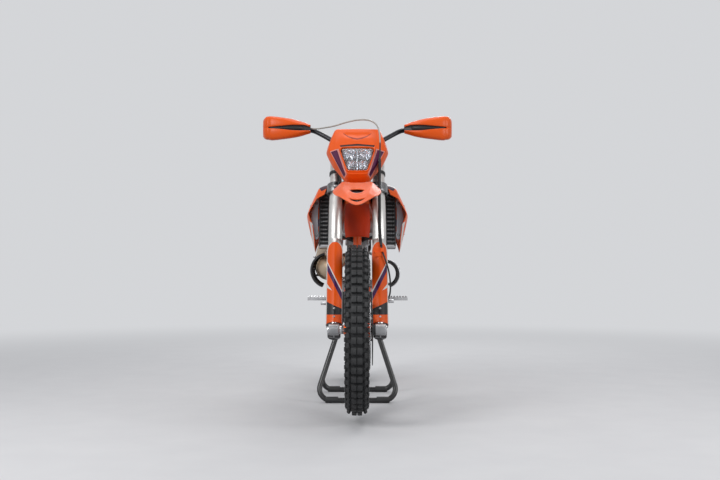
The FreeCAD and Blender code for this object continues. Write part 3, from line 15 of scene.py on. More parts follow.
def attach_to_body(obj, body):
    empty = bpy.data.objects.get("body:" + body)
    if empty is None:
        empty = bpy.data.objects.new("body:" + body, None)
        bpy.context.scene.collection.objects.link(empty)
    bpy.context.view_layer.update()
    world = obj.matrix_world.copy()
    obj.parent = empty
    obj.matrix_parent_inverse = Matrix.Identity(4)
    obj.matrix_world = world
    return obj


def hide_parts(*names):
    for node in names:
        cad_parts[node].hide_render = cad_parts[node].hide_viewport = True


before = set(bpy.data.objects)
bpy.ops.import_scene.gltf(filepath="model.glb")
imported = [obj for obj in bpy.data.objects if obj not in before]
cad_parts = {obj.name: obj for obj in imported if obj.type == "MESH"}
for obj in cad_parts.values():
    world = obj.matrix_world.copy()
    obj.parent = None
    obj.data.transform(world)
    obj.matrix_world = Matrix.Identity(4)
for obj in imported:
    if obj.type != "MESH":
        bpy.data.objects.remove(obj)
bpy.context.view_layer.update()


# %% [markdown]
# Two drawing frames make the numbers readable. Most pieces are drawn in the bike's own frame, in
# millimetres above the line under the hanging tyres. Everything that steers is drawn upright about the
# steering axis, as (x, ahead of the axis, along the axis), and then leaned back by the rake of 26.5 degrees.

# %% From drawing frames to the scene
RAKE = math.radians(26.5)
AXIS_UP = Vector((0, math.sin(RAKE), math.cos(RAKE)))
AXIS_AHEAD = Vector((0, -math.cos(RAKE), math.sin(RAKE)))
AXLE_AHEAD = 57.0   # how far the front axle stands ahead of the steering axis
FORK_X, FORK_AHEAD = 96.0, 22.0   # how far each fork leg stands beside that axis and ahead of it
SHIFT_AHEAD, LIFT = 35.0, 30.0   # how far the bike is moved ahead, and up to the height of its stand
FRONT_AXLE = Vector((0, -666.0, 350.0))
REAR_AXLE = Vector((0, 816.0, 340.0))
STEER_BASE = FRONT_AXLE - AXIS_AHEAD * AXLE_AHEAD


def bike(x, y, z):
    """A point of the bike's own frame, in millimetres, as a point of the scene in metres."""
    return Vector((x, y - SHIFT_AHEAD, z + LIFT)) / 1000.0


def fork(x, ahead, along):
    """A point of the fork's upright frame, in millimetres, as a point of the scene in metres."""
    point = STEER_BASE + AXIS_AHEAD * ahead + AXIS_UP * along
    return bike(x, point.y, point.z)


FRONT_HUB = bike(*FRONT_AXLE)
REAR_HUB = bike(*REAR_AXLE)
print("axles at", [round(v, 3) for v in FRONT_HUB], [round(v, 3) for v in REAR_HUB])


# %% [markdown]
# The photograph was taken from straight ahead with a normal lens, the camera half as high as the
# handlebar and tilted up a little. The studio here is a pale floor that fades into a pale wall, with four
# soft lamps and a soft sky. The wall's colour is what the camera, mirrors and glass see of the sky; every
# other ray sees a dimmer one, so that no extra light reaches the bike from it.

# %% Camera
def linked(name, data):
    """A new object in the scene."""
    made = bpy.data.objects.new(name, data)
    bpy.context.scene.collection.objects.link(made)
    return made


PITCH_UP = 1.43   # degrees, as found from the photograph
camera = linked("camera", bpy.data.cameras.new("camera"))
camera.data.lens = 50.0
camera.data.sensor_width = 36.0
camera.location = (0.012, -4.839, 0.647)
camera.rotation_euler = (math.radians(90 + PITCH_UP), 0, 0)
camera.data.clip_end = 60.0
bpy.context.scene.camera = camera
print("camera", [round(v, 3) for v in camera.location], "lens", camera.data.lens)


# %% Soft light and a quiet tone curve
PALE = (0.66, 0.67, 0.69)


def soft_lamp(name, place, size, power, target=(0, 0, 0.7)):
    """A square soft box that looks at the bike."""
    lamp = bpy.data.lights.new(name, "AREA")
    lamp.shape = "RECTANGLE"
    lamp.size, lamp.size_y = size
    lamp.energy = power
    holder = linked(name, lamp)
    holder.location = place
    holder.rotation_euler = (Vector(target) - Vector(place)).to_track_quat("-Z", "Y").to_euler()


soft_lamp("key_box", (-2.6, -3.6, 2.8), size=(1.6, 2.2), power=88)
soft_lamp("fill_box", (3.2, -2.6, 1.8), size=(1.4, 2.0), power=44)
soft_lamp("back_box", (0.8, 3.8, 3.0), size=(2.4, 1.2), power=55)
soft_lamp("top_box", (0, 0, 4.2), size=(3.0, 3.0), power=48, target=(0, 0, 0))

world = bpy.data.worlds.new("studio_sky")
bpy.context.scene.world = world
world.use_nodes = True
sky_nodes = world.node_tree.nodes
sky = sky_nodes["Background"]
sky.inputs["Color"].default_value = (0.92, 0.94, 1.0, 1.0)
sky.inputs["Strength"].default_value = 0.36
wall = sky_nodes.new("ShaderNodeBackground")
wall.inputs["Color"].default_value = (*PALE, 1.0)
ray_kind = sky_nodes.new("ShaderNodeLightPath")
either = sky_nodes.new("ShaderNodeMath")
either.operation = "MAXIMUM"
any_seen = sky_nodes.new("ShaderNodeMath")
any_seen.operation = "MAXIMUM"
choice = sky_nodes.new("ShaderNodeMixShader")
join = world.node_tree.links.new
join(ray_kind.outputs["Is Camera Ray"], either.inputs[0])
join(ray_kind.outputs["Is Glossy Ray"], either.inputs[1])
join(either.outputs[0], any_seen.inputs[0])
join(ray_kind.outputs["Is Transmission Ray"], any_seen.inputs[1])
join(any_seen.outputs[0], choice.inputs[0])
join(sky.outputs[0], choice.inputs[1])
join(wall.outputs[0], choice.inputs[2])
join(choice.outputs[0], sky_nodes["World Output"].inputs["Surface"])
bpy.context.scene.view_settings.view_transform = "Standard"


# %% [markdown]
# Finishes are node materials. A small class keeps each recipe short: it adds a node, sets its inputs and
# returns the socket to use next. All patterns read the object's own coordinates in metres, so a weave or a
# scratch has its true size, stays on the piece when the piece turns, and needs no unwrapping.

# %% A small kit for writing finishes
class Finish:
    """A node material being written, around one Principled shader."""

    def __init__(self, name, metallic=0.0, roughness=0.5, coat=0.0, specular=0.5):
        self.material = bpy.data.materials.new(name)
        self.material.use_nodes = True
        self.tree = self.material.node_tree
        self.shader = self.tree.nodes["Principled BSDF"]
        self.shader.inputs["Metallic"].default_value = metallic
        self.shader.inputs["Roughness"].default_value = roughness
        self.shader.inputs["Coat Weight"].default_value = coat
        self.shader.inputs["Specular IOR Level"].default_value = specular
        self.coords = self.add("ShaderNodeTexCoord").outputs["Object"]

    def add(self, kind, inputs=None, **settings):
        """Adds a node; an input is a value, a colour or a socket to link from."""
        made = self.tree.nodes.new(kind)
        for name, value in settings.items():
            setattr(made, name, value)
        for name, value in (inputs or {}).items():
            self.feed(made.inputs[name], value)
        return made

    def feed(self, socket, value):
        """Links a socket, or sets its value; three numbers become an opaque colour where one is wanted."""
        if isinstance(value, bpy.types.NodeSocket):
            self.tree.links.new(value, socket)
        elif socket.type == "RGBA" and len(value) == 3:
            socket.default_value = (*value, 1.0)
        else:
            socket.default_value = value

    def math(self, operation, a, b=0.0, c=0.0):
        """One arithmetic step."""
        return self.add("ShaderNodeMath", {0: a, 1: b, 2: c}, operation=operation).outputs[0]

    def mix(self, factor, first, second):
        """Mixes two colours."""
        made = self.add("ShaderNodeMix", data_type="RGBA")
        self.feed(made.inputs[0], factor)
        self.feed(made.inputs[6], first)
        self.feed(made.inputs[7], second)
        return made.outputs[2]

    def blend(self, factor, first, second):
        """Mixes two numbers."""
        return self.add("ShaderNodeMix", {0: factor, 2: first, 3: second}, data_type="FLOAT").outputs[0]

    def stretched(self, scale):
        """The object's coordinates, stretched along the axes."""
        return self.add("ShaderNodeMapping", {"Vector": self.coords, "Scale": scale}).outputs[0]

    def noise(self, scale, detail=3.0, coords=None):
        """Soft random blotches between 0 and 1, scale of them to the metre."""
        inputs = {"Vector": coords or self.coords, "Scale": scale, "Detail": detail, "Roughness": 0.55}
        return self.add("ShaderNodeTexNoise", inputs).outputs[0]

    def step(self, value, low, high):
        """0 below low, 1 above high, smooth between."""
        inputs = {"Value": value, "From Min": low, "From Max": high}
        return self.add("ShaderNodeMapRange", inputs, interpolation_type="SMOOTHSTEP").outputs[0]

    def bump(self, height, strength, distance):
        """Presses a height pattern into the surface."""
        return self.add("ShaderNodeBump", {"Height": height, "Strength": strength, "Distance": distance}).outputs[0]

    def wear(self):
        """1 on sharp outer edges, where paint and grain rub away first."""
        pointed = self.add("ShaderNodeNewGeometry").outputs["Pointiness"]
        patchy = self.math("MULTIPLY_ADD", self.noise(90.0), 0.04, pointed)
        return self.step(patchy, 0.535, 0.60)

    def done(self, **sockets):
        """Feeds the shader's inputs by name, with spaces as underscores, and returns the material."""
        for name, value in sockets.items():
            self.feed(self.shader.inputs[name.replace("_", " ")], value)
        return self.material


# %% Stickers and moulded colour as flat polygons
def polygon_mask(finish, plane, points):
    """1 inside a convex polygon seen along one axis, on both sides of the bike; points are in metres."""
    split = finish.add("ShaderNodeSeparateXYZ", {0: finish.coords})
    across, up = (split.outputs["XYZ".index(letter)] for letter in plane)
    if plane[0] == "X":
        across = finish.math("ABSOLUTE", across)
    centre = Vector((sum(p[0] for p in points), sum(p[1] for p in points))) / len(points)
    inside = None
    for first, second in zip(points, points[1:] + points[:1]):
        edge = Vector(second) - Vector(first)
        normal = Vector((-edge.y, edge.x)).normalized()
        if normal.dot(centre - Vector(first)) < 0:
            normal = -normal
        offset = -normal.dot(Vector(first))
        line = finish.math("MULTIPLY_ADD", across, normal.x, offset)
        line = finish.math("MULTIPLY_ADD", up, normal.y, line)
        inside = line if inside is None else finish.math("MINIMUM", inside, line)
    return finish.step(inside, -0.0002, 0.0002)


# %% [markdown]
# Most of the bike's face is moulded orange plastic. The real thing is injection moulded and flexible: a low
# gloss with a fine spark-eroded grain, hair scratches that run along the part, and edges that pale where
# they are bent. One recipe makes the plastic in any colour and lays stickers over it, so each body part only
# lists its own polygons.

# %% Moulded plastic
ORANGE = (0.88, 0.108, 0.004)
WHITE = (0.80, 0.79, 0.76)
PURPLE = (0.060, 0.012, 0.085)
STRIPE_BLACK = (0.020, 0.020, 0.022)
DARK_GREY = (0.035, 0.036, 0.038)


def plastic(name, colour, roughness=0.38, decals=(), grain=0.10, coat=0.10):
    """Injection-moulded plastic with stickers: decals are (polygon mask maker, colour) pairs."""
    f = Finish(name, roughness=roughness, coat=coat, specular=0.28)
    f.shader.inputs["Coat Roughness"].default_value = 0.26
    mottle = f.noise(9.0, 4.0)
    paler = tuple(min(1.0, c * 1.07 + 0.004) for c in colour)
    darker = tuple(c * 0.90 for c in colour)
    base = f.mix(mottle, darker, paler)
    for mask, shade in decals:
        base = f.mix(mask(f), base, shade)
    rubbed = tuple(min(1.0, c * 1.10 + 0.02) for c in colour)
    base = f.mix(f.math("MULTIPLY", f.wear(), 0.5), base, rubbed)
    dust = f.step(f.noise(34.0, 6.0), 0.52, 0.75)
    scratch = f.step(f.noise(60.0, 2.0, f.stretched((14.0, 14.0, 0.6))), 0.60, 0.68)
    rough = f.math("MULTIPLY_ADD", dust, 0.12, roughness - 0.03)
    rough = f.math("MULTIPLY_ADD", scratch, 0.10, rough)
    fine = f.noise(2600.0, 1.0)
    height = f.math("MULTIPLY_ADD", scratch, -0.4, fine)
    return f.done(Base_Color=base, Roughness=rough, Normal=f.bump(height, grain, 0.0004))


def decal(plane, points):
    """A sticker's outline in millimetres of the scene, as a mask maker for plastic()."""
    return lambda f: polygon_mask(f, plane, [(a / 1000.0, b / 1000.0) for a, b in points])


orange_plastic = plastic("orange_plastic", ORANGE)
black_plastic = plastic("black_plastic", DARK_GREY, roughness=0.42, grain=0.22, coat=0.0)
print("plastics", [m.name for m in bpy.data.materials if "plastic" in m.name])


# %% [markdown]
# The metals differ by how they were made. Tubes are turned and anodised, so their scratches run round or
# along them. Castings are blasted, with a pebbled skin and soft grey stains. Machined faces show tool
# marks. The exhaust is bare sheet that heat has tinted straw and bronze.

# %% Metals
def metal(name, colour, roughness, pebble=0.0, brushed=None, stain=0.10, tint=None, wear=0.0):
    """Bare, blasted or anodised metal; brushed is the stretch of its scratches along x, y and z."""
    f = Finish(name, metallic=1.0, roughness=roughness)
    cloudy = f.noise(14.0, 5.0)
    light = tuple(min(1.0, c * 1.12) for c in colour)
    dark = tuple(c * (1.0 - 2.2 * stain) for c in colour)
    base = f.mix(f.step(cloudy, 0.30, 0.62), dark, light)
    if tint is not None:
        bands = f.step(f.noise(7.0, 3.0, f.stretched((1.0, 2.2, 1.0))), 0.42, 0.62)
        base = f.mix(f.math("MULTIPLY", bands, 0.75), base, tint)
    if wear:
        base = f.mix(f.math("MULTIPLY", f.wear(), wear), base, (0.72, 0.72, 0.73))
    rough = f.math("MULTIPLY_ADD", cloudy, 0.16, roughness - 0.08)
    if brushed is None:
        height = f.noise(900.0, 3.0)
    else:
        height = f.noise(420.0, 2.0, f.stretched(brushed))
        rough = f.math("MULTIPLY_ADD", height, 0.14, rough)
    strength = pebble if brushed is None else 0.10
    return f.done(Base_Color=base, Roughness=rough, Normal=f.bump(height, max(strength, 0.04), 0.0006))


cast_alloy = metal("cast_alloy", (0.46, 0.465, 0.475), 0.42, pebble=0.35)
machined_alloy = metal("machined_alloy", (0.62, 0.625, 0.64), 0.26, brushed=(9.0, 1.0, 9.0))
anodised_silver = metal("anodised_silver", (0.60, 0.585, 0.565), 0.30, brushed=(12.0, 1.0, 1.0), stain=0.04)
hard_chrome = metal("hard_chrome", (0.30, 0.29, 0.30), 0.12, brushed=(1.0, 1.0, 14.0), stain=0.03)
black_anodised = metal("black_anodised", (0.030, 0.030, 0.033), 0.34, pebble=0.12, stain=0.10, wear=0.5)
orange_anodised = metal("orange_anodised", (0.80, 0.13, 0.02), 0.28, brushed=(10.0, 1.0, 1.0), stain=0.05)
bright_steel = metal("bright_steel", (0.58, 0.58, 0.59), 0.24, pebble=0.10)
chain_steel = metal("chain_steel", (0.34, 0.33, 0.31), 0.36, pebble=0.20, tint=(0.20, 0.15, 0.10))
heat_tinted = metal("heat_tinted", (0.46, 0.36, 0.26), 0.34, brushed=(3.0, 1.0, 3.0), tint=(0.36, 0.22, 0.12))
brushed_can = metal("brushed_can", (0.56, 0.56, 0.57), 0.28, brushed=(1.0, 14.0, 14.0))
print("metals", len(bpy.data.materials))


# %% [markdown]
# The painted steel, the rubbers and the woven things are not metal. Powder coat has an orange-peel skin and
# chips on its edges. Tyre rubber is nearly black, dry and dusty, with a wavy mould texture. The seat is a
# vinyl with small raised dots so that the rider does not slide.

# %% Paint, rubber and cloth
def powder_coat(name, colour, roughness=0.36):
    """Thick baked paint with an orange-peel skin and worn edges."""
    f = Finish(name, roughness=roughness, coat=0.35)
    f.shader.inputs["Coat Roughness"].default_value = 0.18
    base = f.mix(f.noise(18.0, 4.0), tuple(c * 0.88 for c in colour), tuple(min(1, c * 1.10) for c in colour))
    base = f.mix(f.math("MULTIPLY", f.wear(), 0.45), base, (0.34, 0.33, 0.32))
    chips = f.step(f.noise(150.0, 2.0), 0.71, 0.74)
    base = f.mix(f.math("MULTIPLY", chips, 0.5), base, tuple(c * 0.5 + 0.04 for c in colour))
    rough = f.math("MULTIPLY_ADD", f.noise(26.0, 5.0), 0.20, roughness - 0.10)
    return f.done(Base_Color=base, Roughness=rough, Normal=f.bump(f.noise(700.0, 2.0), 0.12, 0.0005))


def rubber(name, colour, roughness, dust, scale=240.0):
    """Dry rubber with dust in its pores."""
    f = Finish(name, roughness=roughness, specular=0.35)
    dusty = f.step(f.noise(38.0, 6.0), 0.44, 0.78)
    grey = tuple(c + 0.075 for c in colour)
    base = f.mix(f.math("MULTIPLY", dusty, dust), colour, grey)
    base = f.mix(f.math("MULTIPLY", f.wear(), 0.5), base, tuple(c + 0.05 for c in colour))
    rough = f.math("MULTIPLY_ADD", dusty, 0.16, roughness - 0.06)
    height = f.noise(scale, 4.0)
    return f.done(Base_Color=base, Roughness=rough, Normal=f.bump(height, 0.28, 0.0008))


def gripper_vinyl(name, colour, pitch=0.0034):
    """Seat cover with rows of small raised dots over a fine leather grain."""
    f = Finish(name, roughness=0.62, specular=0.35)
    dots = f.add("ShaderNodeTexVoronoi", {"Vector": f.coords, "Scale": 1.0 / pitch, "Randomness": 0.12})
    raised = f.step(dots.outputs["Distance"], 0.42, 0.18)
    base = f.mix(f.math("MULTIPLY", raised, 0.55), colour, tuple(c * 1.9 + 0.010 for c in colour))
    base = f.mix(f.math("MULTIPLY", f.noise(16.0, 5.0), 0.25), base, tuple(c + 0.03 for c in colour))
    rough = f.math("MULTIPLY_ADD", raised, -0.16, 0.70)
    height = f.math("MULTIPLY_ADD", f.noise(1100.0, 3.0), 0.25, raised)
    return f.done(Base_Color=base, Roughness=rough, Normal=f.bump(height, 0.6, 0.0009))


orange_paint = powder_coat("orange_paint", (0.80, 0.090, 0.007))
black_paint = powder_coat("black_paint", (0.014, 0.014, 0.015), roughness=0.34)
tyre_rubber = rubber("tyre_rubber", (0.016, 0.0165, 0.018), roughness=0.66, dust=0.35)
hose_rubber = rubber("hose_rubber", (0.013, 0.013, 0.014), roughness=0.50, dust=0.12, scale=700.0)
grip_rubber = rubber("grip_rubber", (0.022, 0.022, 0.023), roughness=0.72, dust=0.10, scale=500.0)
seat_vinyl = gripper_vinyl("seat_vinyl", (0.016, 0.016, 0.018))
seat_side = gripper_vinyl("seat_side", (0.028, 0.028, 0.031), pitch=0.0016)
print("paints and rubbers ready")


# %% [markdown]
# The lamp needs three finishes: a clear moulded cover with faint flow lines, a vacuum-metallised reflector
# with facets, and the dark housing around it. The tail lamp's cover is the same clear plastic dyed red,
# with the ribs that spread its light.

# %% Lamp covers and mirrors
def clear_cover(name, colour, roughness=0.04, ribs=0.0):
    """Transparent moulded plastic; ribs is the number of spreading ribs to the metre."""
    f = Finish(name, roughness=roughness)
    f.shader.inputs["Transmission Weight"].default_value = 0.94
    f.shader.inputs["IOR"].default_value = 1.49
    haze = f.noise(22.0, 5.0)
    base = f.mix(haze, tuple(c * 0.94 for c in colour), colour)
    rough = f.math("MULTIPLY_ADD", f.step(haze, 0.5, 0.8), 0.10, roughness)
    height = f.noise(60.0, 2.0)
    if ribs:
        wave = f.add("ShaderNodeTexWave", {"Vector": f.coords, "Scale": ribs, "Distortion": 0.0})
        height = f.math("MULTIPLY_ADD", height, 0.2, wave.outputs["Fac"])
    return f.done(Base_Color=base, Roughness=rough, Normal=f.bump(height, 0.12, 0.0008))


def mirror_coat(name):
    """Vacuum-metallised plastic, with the small ripples of the moulding under it."""
    f = Finish(name, metallic=1.0, roughness=0.10)
    base = f.mix(f.noise(30.0, 4.0), (0.60, 0.62, 0.66), (0.90, 0.91, 0.94))
    facets = f.add("ShaderNodeTexVoronoi", {"Vector": f.stretched((1.0, 1.0, 0.6)), "Scale": 95.0})
    rough = f.math("MULTIPLY_ADD", f.noise(50.0, 3.0), 0.12, 0.05)
    return f.done(Base_Color=base, Roughness=rough, Normal=f.bump(facets.outputs["Distance"], 0.8, 0.004))


lamp_cover = clear_cover("lamp_cover", (0.97, 0.98, 1.0))
red_cover = clear_cover("red_cover", (0.60, 0.010, 0.008), roughness=0.12, ribs=90.0)
reflector = mirror_coat("reflector")
print("lamp finishes ready")


# %% [markdown]
# Pieces are built from points in code. A Shape gathers simple forms (rods, boxes, turned rings, skins
# stretched over rows of points) into one mesh, which keeps the list of pieces short: all the bolts of one
# cover are one piece. A row of points across a thin shell is the natural way to draw a fender, because it
# is how its mould was designed; a subdivision surface then rounds what lies between the rows.

# %% Putting forms together
MERGE = 0.00002   # points closer than this, in metres, are one point


class Shape:
    """A mesh being put together from simple forms, in scene metres."""

    def __init__(self):
        self.mesh = bmesh.new()

    def rod(self, start, end, radius, end_radius=None, sides=20):
        """A round bar or a cone between two points."""
        run = end - start
        made = bmesh.ops.create_cone(self.mesh, cap_ends=True, segments=sides, radius1=radius,
                                     radius2=radius if end_radius is None else end_radius, depth=run.length)
        turn = run.to_track_quat("Z", "Y").to_matrix().to_4x4()
        bmesh.ops.transform(self.mesh, matrix=Matrix.Translation((start + end) / 2) @ turn, verts=made["verts"])

    def box(self, low, high, turn=None):
        """A box between two corners, turned about its centre if asked."""
        low, high = Vector(low), Vector(high)
        size = high - low
        made = bmesh.ops.create_cube(self.mesh, size=1.0)
        place = Matrix.Translation((low + high) / 2) @ (turn or Matrix()) @ Matrix.Diagonal((*size, 1.0))
        bmesh.ops.transform(self.mesh, matrix=place, verts=made["verts"])

    def moved(self, matrix):
        """Turns and shifts everything drawn so far."""
        bmesh.ops.transform(self.mesh, matrix=matrix, verts=self.mesh.verts)
        return self

    def skin(self, rows, closed=False, caps=False):
        """Faces between neighbouring rows of points; closed joins each row's ends, caps fill the outer rows."""
        grid = [[self.mesh.verts.new(point) for point in row] for row in rows]
        columns = len(grid[0])
        for lower, upper in zip(grid, grid[1:]):
            for i in range(columns if closed else columns - 1):
                j = (i + 1) % columns
                self.mesh.faces.new((lower[i], lower[j], upper[j], upper[i]))
        if caps:
            self.mesh.faces.new(grid[0][::-1])
            self.mesh.faces.new(grid[-1])
        return grid

    def turned(self, profile, centre, axis, sides, closed=False):
        """A profile of (distance along the axis, radius) in metres, turned about the axis."""
        turn = Vector(axis).to_track_quat("Z", "Y").to_matrix()
        rows = [[centre + turn @ Vector((*polar(radius, a), along)) for a in round_angles(sides)]
                for along, radius in profile]
        self.skin(rows + rows[:1] if closed else rows, closed=True)

    def sweep(self, points, radii, sides, flat=1.0, flat_axis=(0, 0, 1), steps=6):
        """A bar of changing thickness along a smooth line; flat squeezes it along one axis."""
        line = flow([[Vector(p), Vector((r, 0, 0))] for p, r in zip(points, radii)], (len(points) - 1) * steps + 1)
        centres = [row[0] for row in line]
        side = Vector(flat_axis)
        rows = []
        for i, (centre, size) in enumerate(line):
            run = (centres[min(i + 1, len(centres) - 1)] - centres[max(i - 1, 0)]).normalized()
            across = run.cross(side).normalized()
            up = across.cross(run)
            rows.append([centre + (across * math.cos(a) + up * math.sin(a) * flat) * size.x
                         for a in round_angles(sides)])
        self.skin(rows, closed=True, caps=True)

    def bolt(self, at, axis, size, flange=True):
        """A hexagon head on its flange, standing on a surface at a point."""
        axis = Vector(axis).normalized()
        if flange:
            self.rod(at - axis * 0.001, at + axis * size * 0.25, size * 1.25, size * 1.15, 16)
        self.rod(at, at + axis * size * 1.1, size * 0.92, size * 0.84, 6)

    def mirror(self):
        """Adds the same forms on the bike's other side."""
        twin = self.mesh.copy()
        bmesh.ops.scale(twin, vec=(-1, 1, 1), verts=twin.verts)
        bmesh.ops.reverse_faces(twin, faces=twin.faces)
        spare = bpy.data.meshes.new("twin")
        twin.to_mesh(spare)
        twin.free()
        self.mesh.from_mesh(spare)
        bpy.data.meshes.remove(spare)
        return self

    def data(self, name):
        """The finished mesh, with its faces looking outward."""
        bmesh.ops.recalc_face_normals(self.mesh, faces=self.mesh.faces)
        made = bpy.data.meshes.new(name)
        self.mesh.to_mesh(made)
        self.mesh.free()
        return made

    def piece(self, name, finish, body, weld=False, **looks):
        """The mesh as a piece that rides on a body; weld joins the points that fall together."""
        if weld:
            bmesh.ops.remove_doubles(self.mesh, verts=self.mesh.verts, dist=MERGE)
        return show(name, self.data(name), finish, body, **looks)

    def hardware(self, name, finish, body):
        """A piece made of bolts and other small turned parts, with their edges just broken."""
        return self.piece(name, finish, body, bevel=0.0003)


def attach(made, body, replaces):
    """Lets an object ride on a body, in the place of the solid that it replaces."""
    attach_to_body(made, body)
    if replaces:
        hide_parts(replaces)
    return made


def show(name, data, finish, body, thick=0.0, levels=0, bevel=0.0, angle=35, replaces=None):
    """A mesh as a piece; thick makes a sheet of it, levels rounds it, angle is where its shading breaks."""
    data.materials.clear()
    data.materials.append(finish)
    made = linked(name, data)
    data.shade_smooth()
    if thick:
        sheet = made.modifiers.new("sheet", "SOLIDIFY")
        sheet.thickness = abs(thick)
        sheet.offset = -1.0 if thick > 0 else 1.0
        sheet.use_quality_normals = True
    if bevel:
        edge = made.modifiers.new("edges", "BEVEL")
        edge.width = bevel
        edge.segments = 2
        edge.angle_limit = math.radians(30)
        edge.harden_normals = True
        data.set_sharp_from_angle(angle=math.radians(180))
    if levels:
        rounding = made.modifiers.new("rounding", "SUBSURF")
        rounding.levels = rounding.render_levels = levels
    elif not bevel:
        data.set_sharp_from_angle(angle=math.radians(angle))
    return attach(made, body, replaces)


def tube(name, points, radius, finish, body, replaces=None, resolution=10):
    """A pipe, hose or wire along a smooth line through the scene, with points in metres."""
    line = bpy.data.curves.new(name, "CURVE")
    line.dimensions = "3D"
    run = line.splines.new("NURBS")
    run.points.add(len(points) - 1)
    for made, point in zip(run.points, points):
        made.co = (*point, 1.0)
    run.order_u = 3
    run.use_endpoint_u = True
    line.resolution_u = resolution
    line.bevel_depth = radius
    line.bevel_resolution = 5
    line.use_fill_caps = True
    line.materials.append(finish)
    return attach(linked(name, line), body, replaces)


def round_angles(count):
    """Angles spread evenly round a full turn."""
    return [2 * math.pi * k / count for k in range(count)]


def polar(radius, angle):
    """A point of a plate's own plane, by its radius and its angle."""
    return radius * math.cos(angle), radius * math.sin(angle)


def circle(radius, count, centre=(0.0, 0.0)):
    """Points of a circle in a plate's own plane."""
    return [(centre[0] + radius * math.cos(a), centre[1] + radius * math.sin(a)) for a in round_angles(count)]


def plate(name, outlines, thickness, place, finish, body, replaces):
    """A flat plate cut from outlines in metres, the first its edge and the others its holes."""
    bevel = 0.0004
    line = bpy.data.curves.new(name, "CURVE")
    line.dimensions = "2D"
    line.fill_mode = "BOTH"
    line.extrude = max(0.0001, thickness / 2 - bevel)
    line.bevel_depth = bevel
    line.bevel_resolution = 1
    for outline in outlines:
        run = line.splines.new("POLY")
        run.points.add(len(outline) - 1)
        for made, (a, b) in zip(run.points, outline):
            made.co = (a, b, 0.0, 1.0)
        run.use_cyclic_u = True
    cutter = bpy.data.objects.new(name + "_line", line)
    data = bpy.data.meshes.new_from_object(cutter)
    data.name = name
    bpy.data.objects.remove(cutter)
    data.transform(place)
    return show(name, data, finish, body, replaces=replaces, angle=25)


def along_x(x, centre):
    """Lays a plate's plane square to the bike's X axis, at x, about a centre, in metres."""
    turn = Matrix(((0, 0, 1), (1, 0, 0), (0, 1, 0))).to_4x4()
    return Matrix.Translation((x, centre.y, centre.z)) @ turn


def resample(points, count, closed=False):
    """Points spaced evenly along a line of straight runs."""
    line = [Vector(p) for p in points] + ([Vector(points[0])] if closed else [])
    lengths = [(b - a).length for a, b in zip(line, line[1:])]
    total = sum(lengths)
    steps = count if closed else count - 1
    made = []
    for i in range(count):
        left = total * i / steps
        for a, b, length in zip(line, line[1:], lengths):
            if left <= length + 1e-9:
                made.append(a.lerp(b, left / length))
                break
            left -= length
        else:
            made.append(line[-1].copy())
    return made


def flow(rows, count):
    """More rows between the given ones, on smooth lines through them (Catmull-Rom)."""
    made = []
    spans = len(rows) - 1
    for k in range(count):
        t = spans * k / (count - 1)
        i = min(int(t), spans - 1)
        t -= i
        p0, p1, p2, p3 = (rows[max(0, min(spans, i + d))] for d in (-1, 0, 1, 2))
        row = []
        for a, b, c, d in zip(p0, p1, p2, p3):
            a, b, c, d = Vector(a), Vector(b), Vector(c), Vector(d)
            row.append(0.5 * (2 * b + (c - a) * t + (2 * a - 5 * b + 4 * c - d) * t * t
                              + (3 * b - a - 3 * c + d) * t * t * t))
        made.append(row)
    return made


print("drawing tools ready")


# %% [markdown]
# ## The steered front
# The two upper fork tubes are turned from aluminium and hard anodised. They are 60 mm across below the
# lower clamp and slimmer between the clamps, with a screwed cap on top and a dust wiper at the bottom. A
# turned profile draws them exactly, because that is how a lathe makes them.

# %% Fork tubes and stanchions
def on_fork(side, along, ahead=FORK_AHEAD, x=FORK_X):
    """A point of one fork leg, or beside it; side is 1 for the bike's left."""
    return fork(side * x, ahead, along)


tubes, wipers, caps, stanchions = Shape(), Shape(), Shape(), Shape()
for side in (1, -1):
    foot = on_fork(side, 0.0)
    tubes.turned([(0.392, 0.0285), (0.392, 0.0298), (0.394, 0.030), (0.430, 0.030), (0.4305, 0.0296),
                  (0.4325, 0.0296), (0.433, 0.030), (0.596, 0.030), (0.640, 0.0285), (0.662, 0.027),
                  (0.903, 0.027), (0.905, 0.0262), (0.905, 0.020)], foot, AXIS_UP, 72)
    wipers.turned([(0.388, 0.0242), (0.386, 0.0262), (0.386, 0.0292), (0.3895, 0.0298), (0.392, 0.0296)],
                  foot, AXIS_UP, 64)
    caps.turned([(0.899, 0.0225), (0.912, 0.0225), (0.914, 0.0215), (0.914, 0.012), (0.918, 0.0115),
                 (0.918, 0.006), (0.921, 0.0055), (0.921, 0.0001)], foot, AXIS_UP, 8)
    stanchions.turned([(0.030, 0.024), (0.393, 0.024)], foot, AXIS_UP, 64)
tubes.piece("fork_tubes", anodised_silver, "steering", angle=40, replaces="fork_outer_tubes", weld=True)
wipers.piece("fork_wipers", hose_rubber, "steering", angle=50, weld=True)
caps.piece("fork_caps", orange_anodised, "steering", bevel=0.0005, weld=True)
stanchions.piece("fork_stanchions", hard_chrome, "steering", replaces="fork_legs", weld=True)

